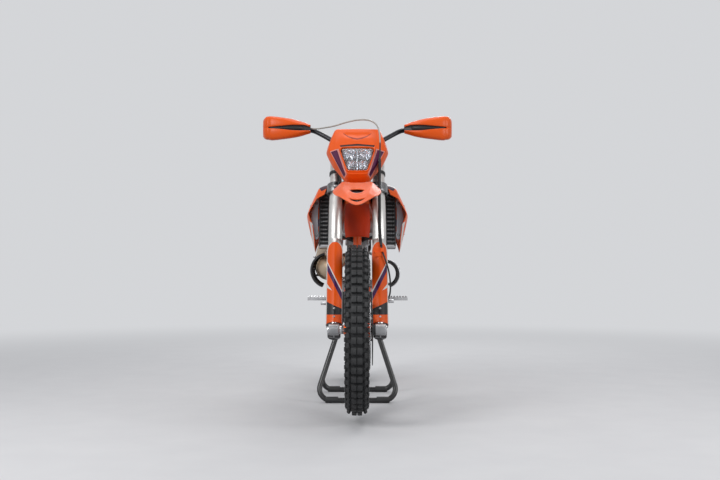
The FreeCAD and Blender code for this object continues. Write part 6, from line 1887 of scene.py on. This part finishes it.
def round_guard(name, middle, wide, high, first, last, side):
    """A bowed shield with a bright rim: its middle, half width and half height, and its arc in degrees."""
    shell = Shape()
    angles = [math.radians(first + (last - first) * k / 36) for k in range(37)]
    rows = []
    for y, grow in ((-186, 0.90), (-180, 0.97), (-168, 1.0), (-120, 1.0), (-76, 0.97), (-58, 0.90), (-50, 0.80)):
        rows.append([bike(side * (middle.x + wide * grow * math.cos(a)), y, middle.z + high * grow * math.sin(a))
                     for a in angles])
    shell.skin(flow(rows, 30))
    shell.piece(name, black_plastic, "chassis", thick=0.003 * side, levels=1, weld=True)
    edge = [bike(side * (middle.x + wide * 0.985 * math.cos(a)), -177, middle.z + high * 0.985 * math.sin(a))
            for a in angles]
    tube(f"{name}_rim", edge, 0.0021, bright_steel, "chassis")


round_guard("pipe_guard", Vector((138, 0, 592)), wide=78, high=80, first=-72, last=80, side=-1)
round_guard("case_guard", Vector((132, 0, 576)), wide=64, high=66, first=-72, last=84, side=1)
brackets = Shape()
for x, y, z in ((-188, -150, 600), (-180, -100, 650), (-178, -100, 570)):
    brackets.rod(bike(x, y, z), bike(x * 1.135, y, 592 + (z - 592) * 1.1), 0.005, sides=16)
for start, end in (((52, -132, 512), (158, -128, 530)), ((14, -196, 690), (150, -150, 632)),
                   ((150, -150, 632), (180, -128, 610))):
    brackets.rod(bike(*start), bike(*end), 0.006, sides=16)
brackets.piece("guard_brackets", black_paint, "chassis")
guard_bolts = Shape()
for x, y, z, out in ((-213, -150, 600, -1), (-203, -100, 655, -1), (192, -140, 600, 1), (186, -90, 545, 1)):
    guard_bolts.bolt(bike(x, y, z), (out, 0, 0.1), 0.0048)
guard_bolts.hardware("guard_bolts", bright_steel, "chassis")
print("exhaust ready")


# %% [markdown]
# The silencer is an aluminium can between two dark end caps, held by rivets and two bands. All of it is
# round about one line, so a turned profile draws each material.

# %% Silencer
can_start, can_end = bike(-130, 520.3, 812), bike(-142, 850, 872)
can_along = (can_end - can_start).normalized()
can, can_caps, rivets = Shape(), Shape(), Shape()
can.turned([(0.052, 0.0445), (0.054, 0.0458), (0.296, 0.0458), (0.298, 0.0445)], can_start, can_along, 72)
can.turned([(0.330, 0.0155), (0.358, 0.0155), (0.360, 0.0148), (0.360, 0.0130), (0.334, 0.0130)], can_start,
           can_along, 40)
can_caps.turned([(-0.002, 0.0195), (0.002, 0.0255), (0.048, 0.0435), (0.052, 0.0462), (0.058, 0.0470),
                 (0.072, 0.0470), (0.073, 0.0458)], can_start, can_along, 72)
can_caps.turned([(0.276, 0.0458), (0.277, 0.0470), (0.296, 0.0470), (0.300, 0.0455), (0.322, 0.0380),
                 (0.334, 0.0335), (0.336, 0.0300), (0.336, 0.0152)], can_start, can_along, 72)
across = can_along.cross(Vector((0, 0, 1))).normalized()
above = across.cross(can_along)
for along in (0.065, 0.286):
    for angle in round_angles(14):
        out = across * math.cos(angle) + above * math.sin(angle)
        at = can_start + can_along * along + out * 0.0468
        rivets.rod(at, at + out * 0.0014, 0.0028, 0.0018, 12)
for along in (0.100, 0.240):
    rivets.turned([(0.0, 0.0460), (0.0, 0.0472), (0.010, 0.0472), (0.010, 0.0460)],
                  can_start + can_along * along, can_along, 72)
rivets.box(bike(-120, 640, 866), bike(-76.5, 664, 880))
can.piece("silencer_can", brushed_can, "chassis", angle=45, replaces="silencer")
can_caps.piece("silencer_caps", black_plastic, "chassis", angle=45)
rivets.hardware("silencer_rivets", bright_steel, "chassis")
print("silencer", round((can_end - can_start).length, 3), "m along")


# %% [markdown]
# The shock's spring is wound wire, so it is one curve: a helix of control points with a round section.
# Inside it stands the damper, with a threaded stretch and two preload rings at its head.

# %% Shock absorber
def helix(start, end, radius, turns):
    """Control points of a spring between two points, with its last half turns lying flat."""
    steps = 14
    run = (end - start).normalized()
    side = run.cross(Vector((1, 0, 0))).normalized()
    other = run.cross(side)
    count = int(turns * steps)
    made = []
    for k in range(count + 1):
        angle = 2 * math.pi * k / steps
        share = k / count
        flat = min(1.0, max(0.0, (share * turns - 0.4) / (turns - 0.8)))
        made.append(start + (end - start) * flat + (side * math.cos(angle) + other * math.sin(angle)) * radius)
    return made


shock_top, shock_bottom = bike(-14, 190, 752), bike(-14, 327, 460)
shock_along = (shock_bottom - shock_top).normalized()
shock_length = (shock_bottom - shock_top).length
spring_white = powder_coat("spring_white", (0.55, 0.55, 0.53), roughness=0.34)
coil = helix(shock_top + shock_along * 0.089, shock_bottom - shock_along * 0.049, radius=0.0315, turns=7.2)
tube("shock_spring", coil, 0.0053, spring_white, "chassis", resolution=4)
damper = Shape()
damper.turned([(0.008, 0.004), (0.008, 0.012), (0.020, 0.012), (0.022, 0.0235), (0.070, 0.0235)]
              + [(0.030 + 0.002 * k, 0.0235 + 0.0006 * (k % 2)) for k in range(20, 27)], shock_top, shock_along, 48)
for at in (0.070, 0.077):
    damper.turned([(at, 0.024), (at, 0.0365), (at + 0.001, 0.038), (at + 0.005, 0.038), (at + 0.006, 0.0365),
                   (at + 0.006, 0.024)], shock_top, shock_along, 24, True)
damper.turned([(shock_length - 0.043, 0.0120), (shock_length - 0.043, 0.036), (shock_length - 0.041, 0.038),
               (shock_length - 0.036, 0.038), (shock_length - 0.034, 0.018), (shock_length - 0.012, 0.018),
               (shock_length - 0.008, 0.012)], shock_top, shock_along, 48)
for centre, half, radius in ((shock_top, 14, 17), (shock_bottom, 10.5, 14)):
    damper.turned([(-half / 1000, 0.0101), (-half / 1000, radius / 1000 - 0.001), (0.001 - half / 1000, radius / 1000),
                   (half / 1000 - 0.001, radius / 1000), (half / 1000, radius / 1000 - 0.001), (half / 1000, 0.0101)],
                  centre, (1, 0, 0), 40, True)
damper.piece("shock_body", machined_alloy, "chassis", angle=40, replaces="shock_absorber")
rods = Shape()
rods.rod(shock_top + shock_along * 0.076, shock_bottom - shock_along * 0.034, 0.009, sides=32)
rods.turned([(0.190, 0.0092), (0.190, 0.020), (0.215, 0.017), (0.228, 0.0092)], shock_top, shock_along, 32, True)
rods.piece("shock_rod", hard_chrome, "chassis")
print("spring between", [round(v, 3) for v in shock_top], [round(v, 3) for v in shock_bottom])


# %% [markdown]
# The chain is built as a chain: outer and inner links in turn, each a pair of waisted plates on two pins,
# with a roller between. Its line is two tangents and two arcs about the chain wheels, divided into an even
# number of equal pitches, so that the last link closes on the first.

# %% Drive chain
PITCH = 15.875
CHAIN_X = 0.080   # the chain's plane, in metres
PLATE_END, PLATE_WAIST = 0.0064, 0.0046   # half heights of a link's plate
DRIVE, DRIVEN = (166.0, 425.0, 13), (816.0, 340.0, 50)


def chain_line():
    """The closed line through the pins, as y and z in the bike's millimetres."""
    (y1, z1, t1), (y2, z2, t2) = DRIVE, DRIVEN
    r1, r2 = (PITCH / (2 * math.sin(math.pi / t)) for t in (t1, t2))
    heading = math.atan2(z2 - z1, y2 - y1)
    lean = math.asin((r2 - r1) / math.dist((y1, z1), (y2, z2)))
    points = []
    for y, z, r, first, last in ((y2, z2, r2, heading + math.pi / 2 + lean, heading - math.pi / 2 - lean),
                                 (y1, z1, r1, heading - math.pi / 2 - lean, heading - 3 * math.pi / 2 + lean)):
        for k in range(61):
            angle = first + (last - first) * k / 60
            points.append((y + r * math.cos(angle), z + r * math.sin(angle)))
    return points


def link_plate(shape, a, b, x0, x1, high, waist):
    """One waisted plate between two pins."""
    run = (b - a).normalized()
    up = Vector((1, 0, 0)).cross(run)
    outline = []
    for centre, turn in ((b, 0.0), (a, math.pi)):
        for k in range(7):
            angle = turn - math.pi / 2 + math.pi * k / 6
            outline.append(centre + run * high * math.cos(angle) + up * high * math.sin(angle))
        outline.append((a + b) / 2 + up * waist * (1 if turn == 0.0 else -1))
    rings = [[Vector((x, p.y, p.z)) for p in outline] for x in (x0, x1)]
    shape.skin(rings, closed=True, caps=True)


line = chain_line()
line_length = sum(math.dist(p, q) for p, q in zip(line, line[1:] + line[:1]))
link_count = 2 * round(line_length / PITCH / 2)
pins = [bike(0, p.x, p.y) for p in resample([(y, z, 0) for y, z in line], link_count, closed=True)]
links, rollers = Shape(), Shape()
for k, (a, b) in enumerate(zip(pins, pins[1:] + pins[:1])):
    outer = 0.0068 if k % 2 else 0.0050
    for side in (1, -1):
        x0, x1 = sorted((CHAIN_X + side * (outer - 0.0013), CHAIN_X + side * (outer + 0.0004)))
        link_plate(links, a, b, x0, x1, PLATE_END, PLATE_WAIST)
    for half, radius, sides in ((0.0038, 0.0046, 12), (0.0074, 0.0024, 10)):
        rollers.rod(Vector((CHAIN_X - half, a.y, a.z)), Vector((CHAIN_X + half, a.y, a.z)), radius, sides=sides)
links.piece("chain_links", chain_steel, "chassis", angle=40, replaces="drive_chain")
rollers.piece("chain_rollers", bright_steel, "chassis", angle=40)
print("chain", link_count, "links on", round(line_length), "mm")


# %% [markdown]
# Small hardware makes the castings read as castings: a bolt on every lug that the solids already have, the
# screws of the clamps, the hose bands of the carburettor, and the chain adjusters at the back axle. All the
# bolts of one assembly are one piece.

# %% Bolts and small hardware
engine_bolts = Shape()
for y, z in ((-50, 532), (40, 552), (146, 534), (158, 474), (116, 424), (34, 424), (-40, 426), (-58, 470)):
    engine_bolts.bolt(bike(-90, y, z), (-1, 0, 0), 0.0046)
for k in range(6):
    angle = math.radians(60 * k + 15)
    engine_bolts.bolt(bike(-103.5, 92 + 47 * math.cos(angle), 486 + 47 * math.sin(angle)), (-1, 0, 0), 0.0042)
for k in range(5):
    angle = math.radians(90 + 36 + 72 * k)
    engine_bolts.bolt(bike(76, -2 + 62 * math.cos(angle), 486 + 62 * math.sin(angle)), (1, 0, 0), 0.0044)
for y, z in ((110, 412), (184, 414), (178, 464), (110, 464)):
    engine_bolts.bolt(bike(99, y, z), (1, 0, 0), 0.0044)
for side in (1, -1):
    engine_bolts.bolt(bike(side * 116, 241, 410), (side, 0, 0), 0.0085)
    for y, z in ((226, 560), (256, 560), (250, 390)):
        engine_bolts.bolt(bike(side * 110, y, z), (side, 0, 0), 0.0045)
engine_bolts.hardware("engine_bolts", bright_steel, "chassis")

head_lean = Matrix.Translation(bike(0, -10, 578)) @ Matrix.Rotation(math.radians(12), 4, "X")
plug = Shape()
plug.turned([(0.236, 0.0135), (0.240, 0.0150), (0.262, 0.0140), (0.270, 0.0120), (0.276, 0.0001)],
            mm(0, -5, 0), (0, 0, 1), 32)
plug.moved(head_lean).piece("spark_plug_cap", hose_rubber, "chassis", angle=45, weld=True)

mixer, bands = Shape(), Shape()
mixer.sweep([bike(0, 62, 640.5), bike(0, 66, 641), bike(0, 112, 647), bike(0, 116, 647.5)],
            [0.0275, 0.0285, 0.0285, 0.0275], 36)
mixer.box(bike(-22, 72, 598), bike(22, 112, 632))
mixer.box(bike(-26, 70, 614), bike(26, 114, 619))
mixer.rod(bike(0, 90, 668), bike(0, 92, 694), 0.017, 0.015, 32)
mixer.piece("carburettor_body", cast_alloy, "chassis", bevel=0.001)
for x, y, z, r, climb in ((0, 52, 640, 31.2, 0.25), (0, 120, 648.5, 28.4, 0.25), (50, 283, 750, 19.2, 0.7)):
    low, high = r / 1000 - 0.001, r / 1000 + 0.0006
    bands.turned([(-0.004, low), (-0.004, high), (0.004, high), (0.004, low)], bike(x, y, z), (0, 1, climb), 40, True)
bands.piece("hose_bands", bright_steel, "chassis")

clamp_bolts = Shape()
for ahead, along in ((59, 690), (56, 886)):
    for side in (1, -1):
        clamp_bolts.bolt(fork(side * 101, ahead, along), (side, 0, 0), 0.0050)
for side in (1, -1):
    for ahead in (5, 31):
        clamp_bolts.bolt(fork(side * 46, ahead, 967), AXIS_UP, 0.0048)
clamp_bolts.rod(fork(0, 0, 899), fork(0, 0, 908), 0.021, 0.020, 6)
clamp_bolts.turned([(0.908, 0.020), (0.911, 0.018), (0.911, 0.012)], fork(0, 0, 0), AXIS_UP, 40)
clamp_bolts.piece("clamp_bolts", bright_steel, "steering", bevel=0.0004)

screen, keys = Shape(), Shape()
screen.box((-0.030, 0, -0.018), (0.030, 0.0012, 0.018))
tilt = Matrix.Translation(fork(0, 51.2, 958)) @ Matrix.Rotation(-RAKE, 4, "X")
glass = plastic("screen_glass", (0.030, 0.036, 0.034), roughness=0.10, grain=0.02, coat=0.6)
screen.moved(tilt).piece("instrument_screen", glass, "steering", bevel=0.0004, weld=True)
for x in (-24, 0, 24):
    keys.rod(fork(x, 51.9, 934), fork(x, 50.2, 934), 0.0038, sides=20)
keys.piece("instrument_keys", orange_plastic, "steering", bevel=0.0004)

adjusters = Shape()
for side in (1, -1):
    x = side * 105
    adjusters.rod(bike(x, 862, 340), bike(x, 884, 340), 0.0035, sides=16)
    adjusters.rod(bike(x, 866, 340), bike(x, 870, 340), 0.0065, sides=6)
    adjusters.bolt(bike(x, 882, 340), (0, 1, 0), 0.0045, flange=False)
    adjusters.bolt(bike(side * 128, 816, 340), (side, 0, 0), 0.011)
adjusters.piece("chain_adjusters", bright_steel, "chassis", bevel=0.0004)

rubbers = Shape()
for y in (-99, 311):
    for side in (1, -1):
        rubbers.turned([(-0.03, 0.0128), (-0.03, 0.0150), (0.03, 0.0150), (0.03, 0.0128)],
                       bike(side * 120, y, -14.9), (1, 0, 0), 32, True)
for x in (-70, 70):
    rubbers.box(bike(x - 10, 0, 367.3), bike(x + 10, 210, 367.6))
rubbers.piece("stand_rubbers", hose_rubber, "chassis")
print("hardware ready")


# %% [markdown]
# Every solid that is still showing keeps its own shape and only needs a finish. Its edges are broken by a
# small bevel, as a real casting's are, because a knife-sharp edge never catches the light.

# %% Finishes for the solids that stay
STAYING = {
    orange_paint: "main_frame",
    brushed_can: "subframe silencer",
    machined_alloy: "swingarm foot_levers",
    bright_steel: "rear_axle front_axle shock_absorber front_sprocket footpegs front_disc rear_disc",
    cast_alloy: "crankcase cylinder clutch_cover ignition_cover",
    chain_steel: "drive_chain",
    heat_tinted: "expansion_pipe",
    hose_rubber: "carburettor brake_hose",
    black_plastic: "radiators fuel_tank skid_plate instrument disc_guard",
    seat_vinyl: "seat",
    orange_plastic: "radiator_shrouds side_panels rear_fender fork_protectors front_fender headlight_mask handguards",
    red_cover: "tail_lamp",
    black_anodised: "rear_caliper lower_clamp upper_clamp handlebar control_levers front_caliper front_rim rear_rim "
                    "side_stand",
    black_paint: "paddock_stand",
    anodised_silver: "fork_outer_tubes",
    hard_chrome: "fork_legs",
    reflector: "headlamp",
    grip_rubber: "grips",
    tyre_rubber: "front_tyre rear_tyre",
    orange_anodised: "front_hub rear_hub rear_sprocket",
}
finishes = {name: finish for finish, names in STAYING.items() for name in names.split()}
for name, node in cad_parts.items():
    node.data.materials.clear()
    node.data.materials.append(finishes[name])
    if node.hide_render:
        continue
    joined = node.modifiers.new("joined", "WELD")
    joined.merge_threshold = MERGE
    edges = node.modifiers.new("edges", "BEVEL")
    edges.width = 0.0007
    edges.segments = 2
    edges.angle_limit = math.radians(34)
    edges.harden_normals = True
    node.data.shade_smooth()
print("solids that stay", sorted(n for n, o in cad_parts.items() if not o.hide_render))


# %% [markdown]
# The floor is plain and pale. Close to the bike it is lit like any floor, so it keeps the bike's shadow.
# Further out it fades into the wall's own colour, which leaves no horizon from any side. Both are so only to
# the camera, to mirrors and through glass; to every other ray the floor is a mid grey.

# %% Floor and backdrop
REACH = 40.0
FADE_FROM, FADE_TO = 1.2, 6.5
floor_shape = Shape()
floor_shape.skin([[Vector((x, y, 0.0)) for x in (-REACH, REACH)] for y in (-REACH, REACH)])
floor_finish = Finish("studio_floor", roughness=0.8, specular=0.0)
light_path = floor_finish.add("ShaderNodeLightPath")
seen = floor_finish.math("MAXIMUM", light_path.outputs["Is Camera Ray"], light_path.outputs["Is Glossy Ray"])
seen = floor_finish.math("MAXIMUM", seen, light_path.outputs["Is Transmission Ray"])
distance = floor_finish.add("ShaderNodeVectorMath", {0: floor_finish.coords}, operation="LENGTH").outputs["Value"]
far = floor_finish.math("MULTIPLY", floor_finish.step(distance, FADE_FROM, FADE_TO), seen)
speckle = floor_finish.noise(5.0, 5.0)
pale = floor_finish.mix(speckle, (0.66, 0.66, 0.67), (0.72, 0.72, 0.725))
grey = floor_finish.mix(speckle, (0.30, 0.30, 0.31), (0.34, 0.34, 0.345))
near_colour = floor_finish.mix(seen, grey, pale)
floor_finish.shader.inputs["Emission Color"].default_value = (*PALE, 1.0)
floor_finish.done(Base_Color=floor_finish.mix(far, near_colour, (0.0, 0.0, 0.0)), Emission_Strength=far,
                  Roughness=floor_finish.blend(speckle, 0.74, 0.84))
data = bpy.data.meshes.new("studio_floor")
floor_shape.mesh.to_mesh(data)
data.materials.append(floor_finish.material)
floor = linked("studio_floor", data)
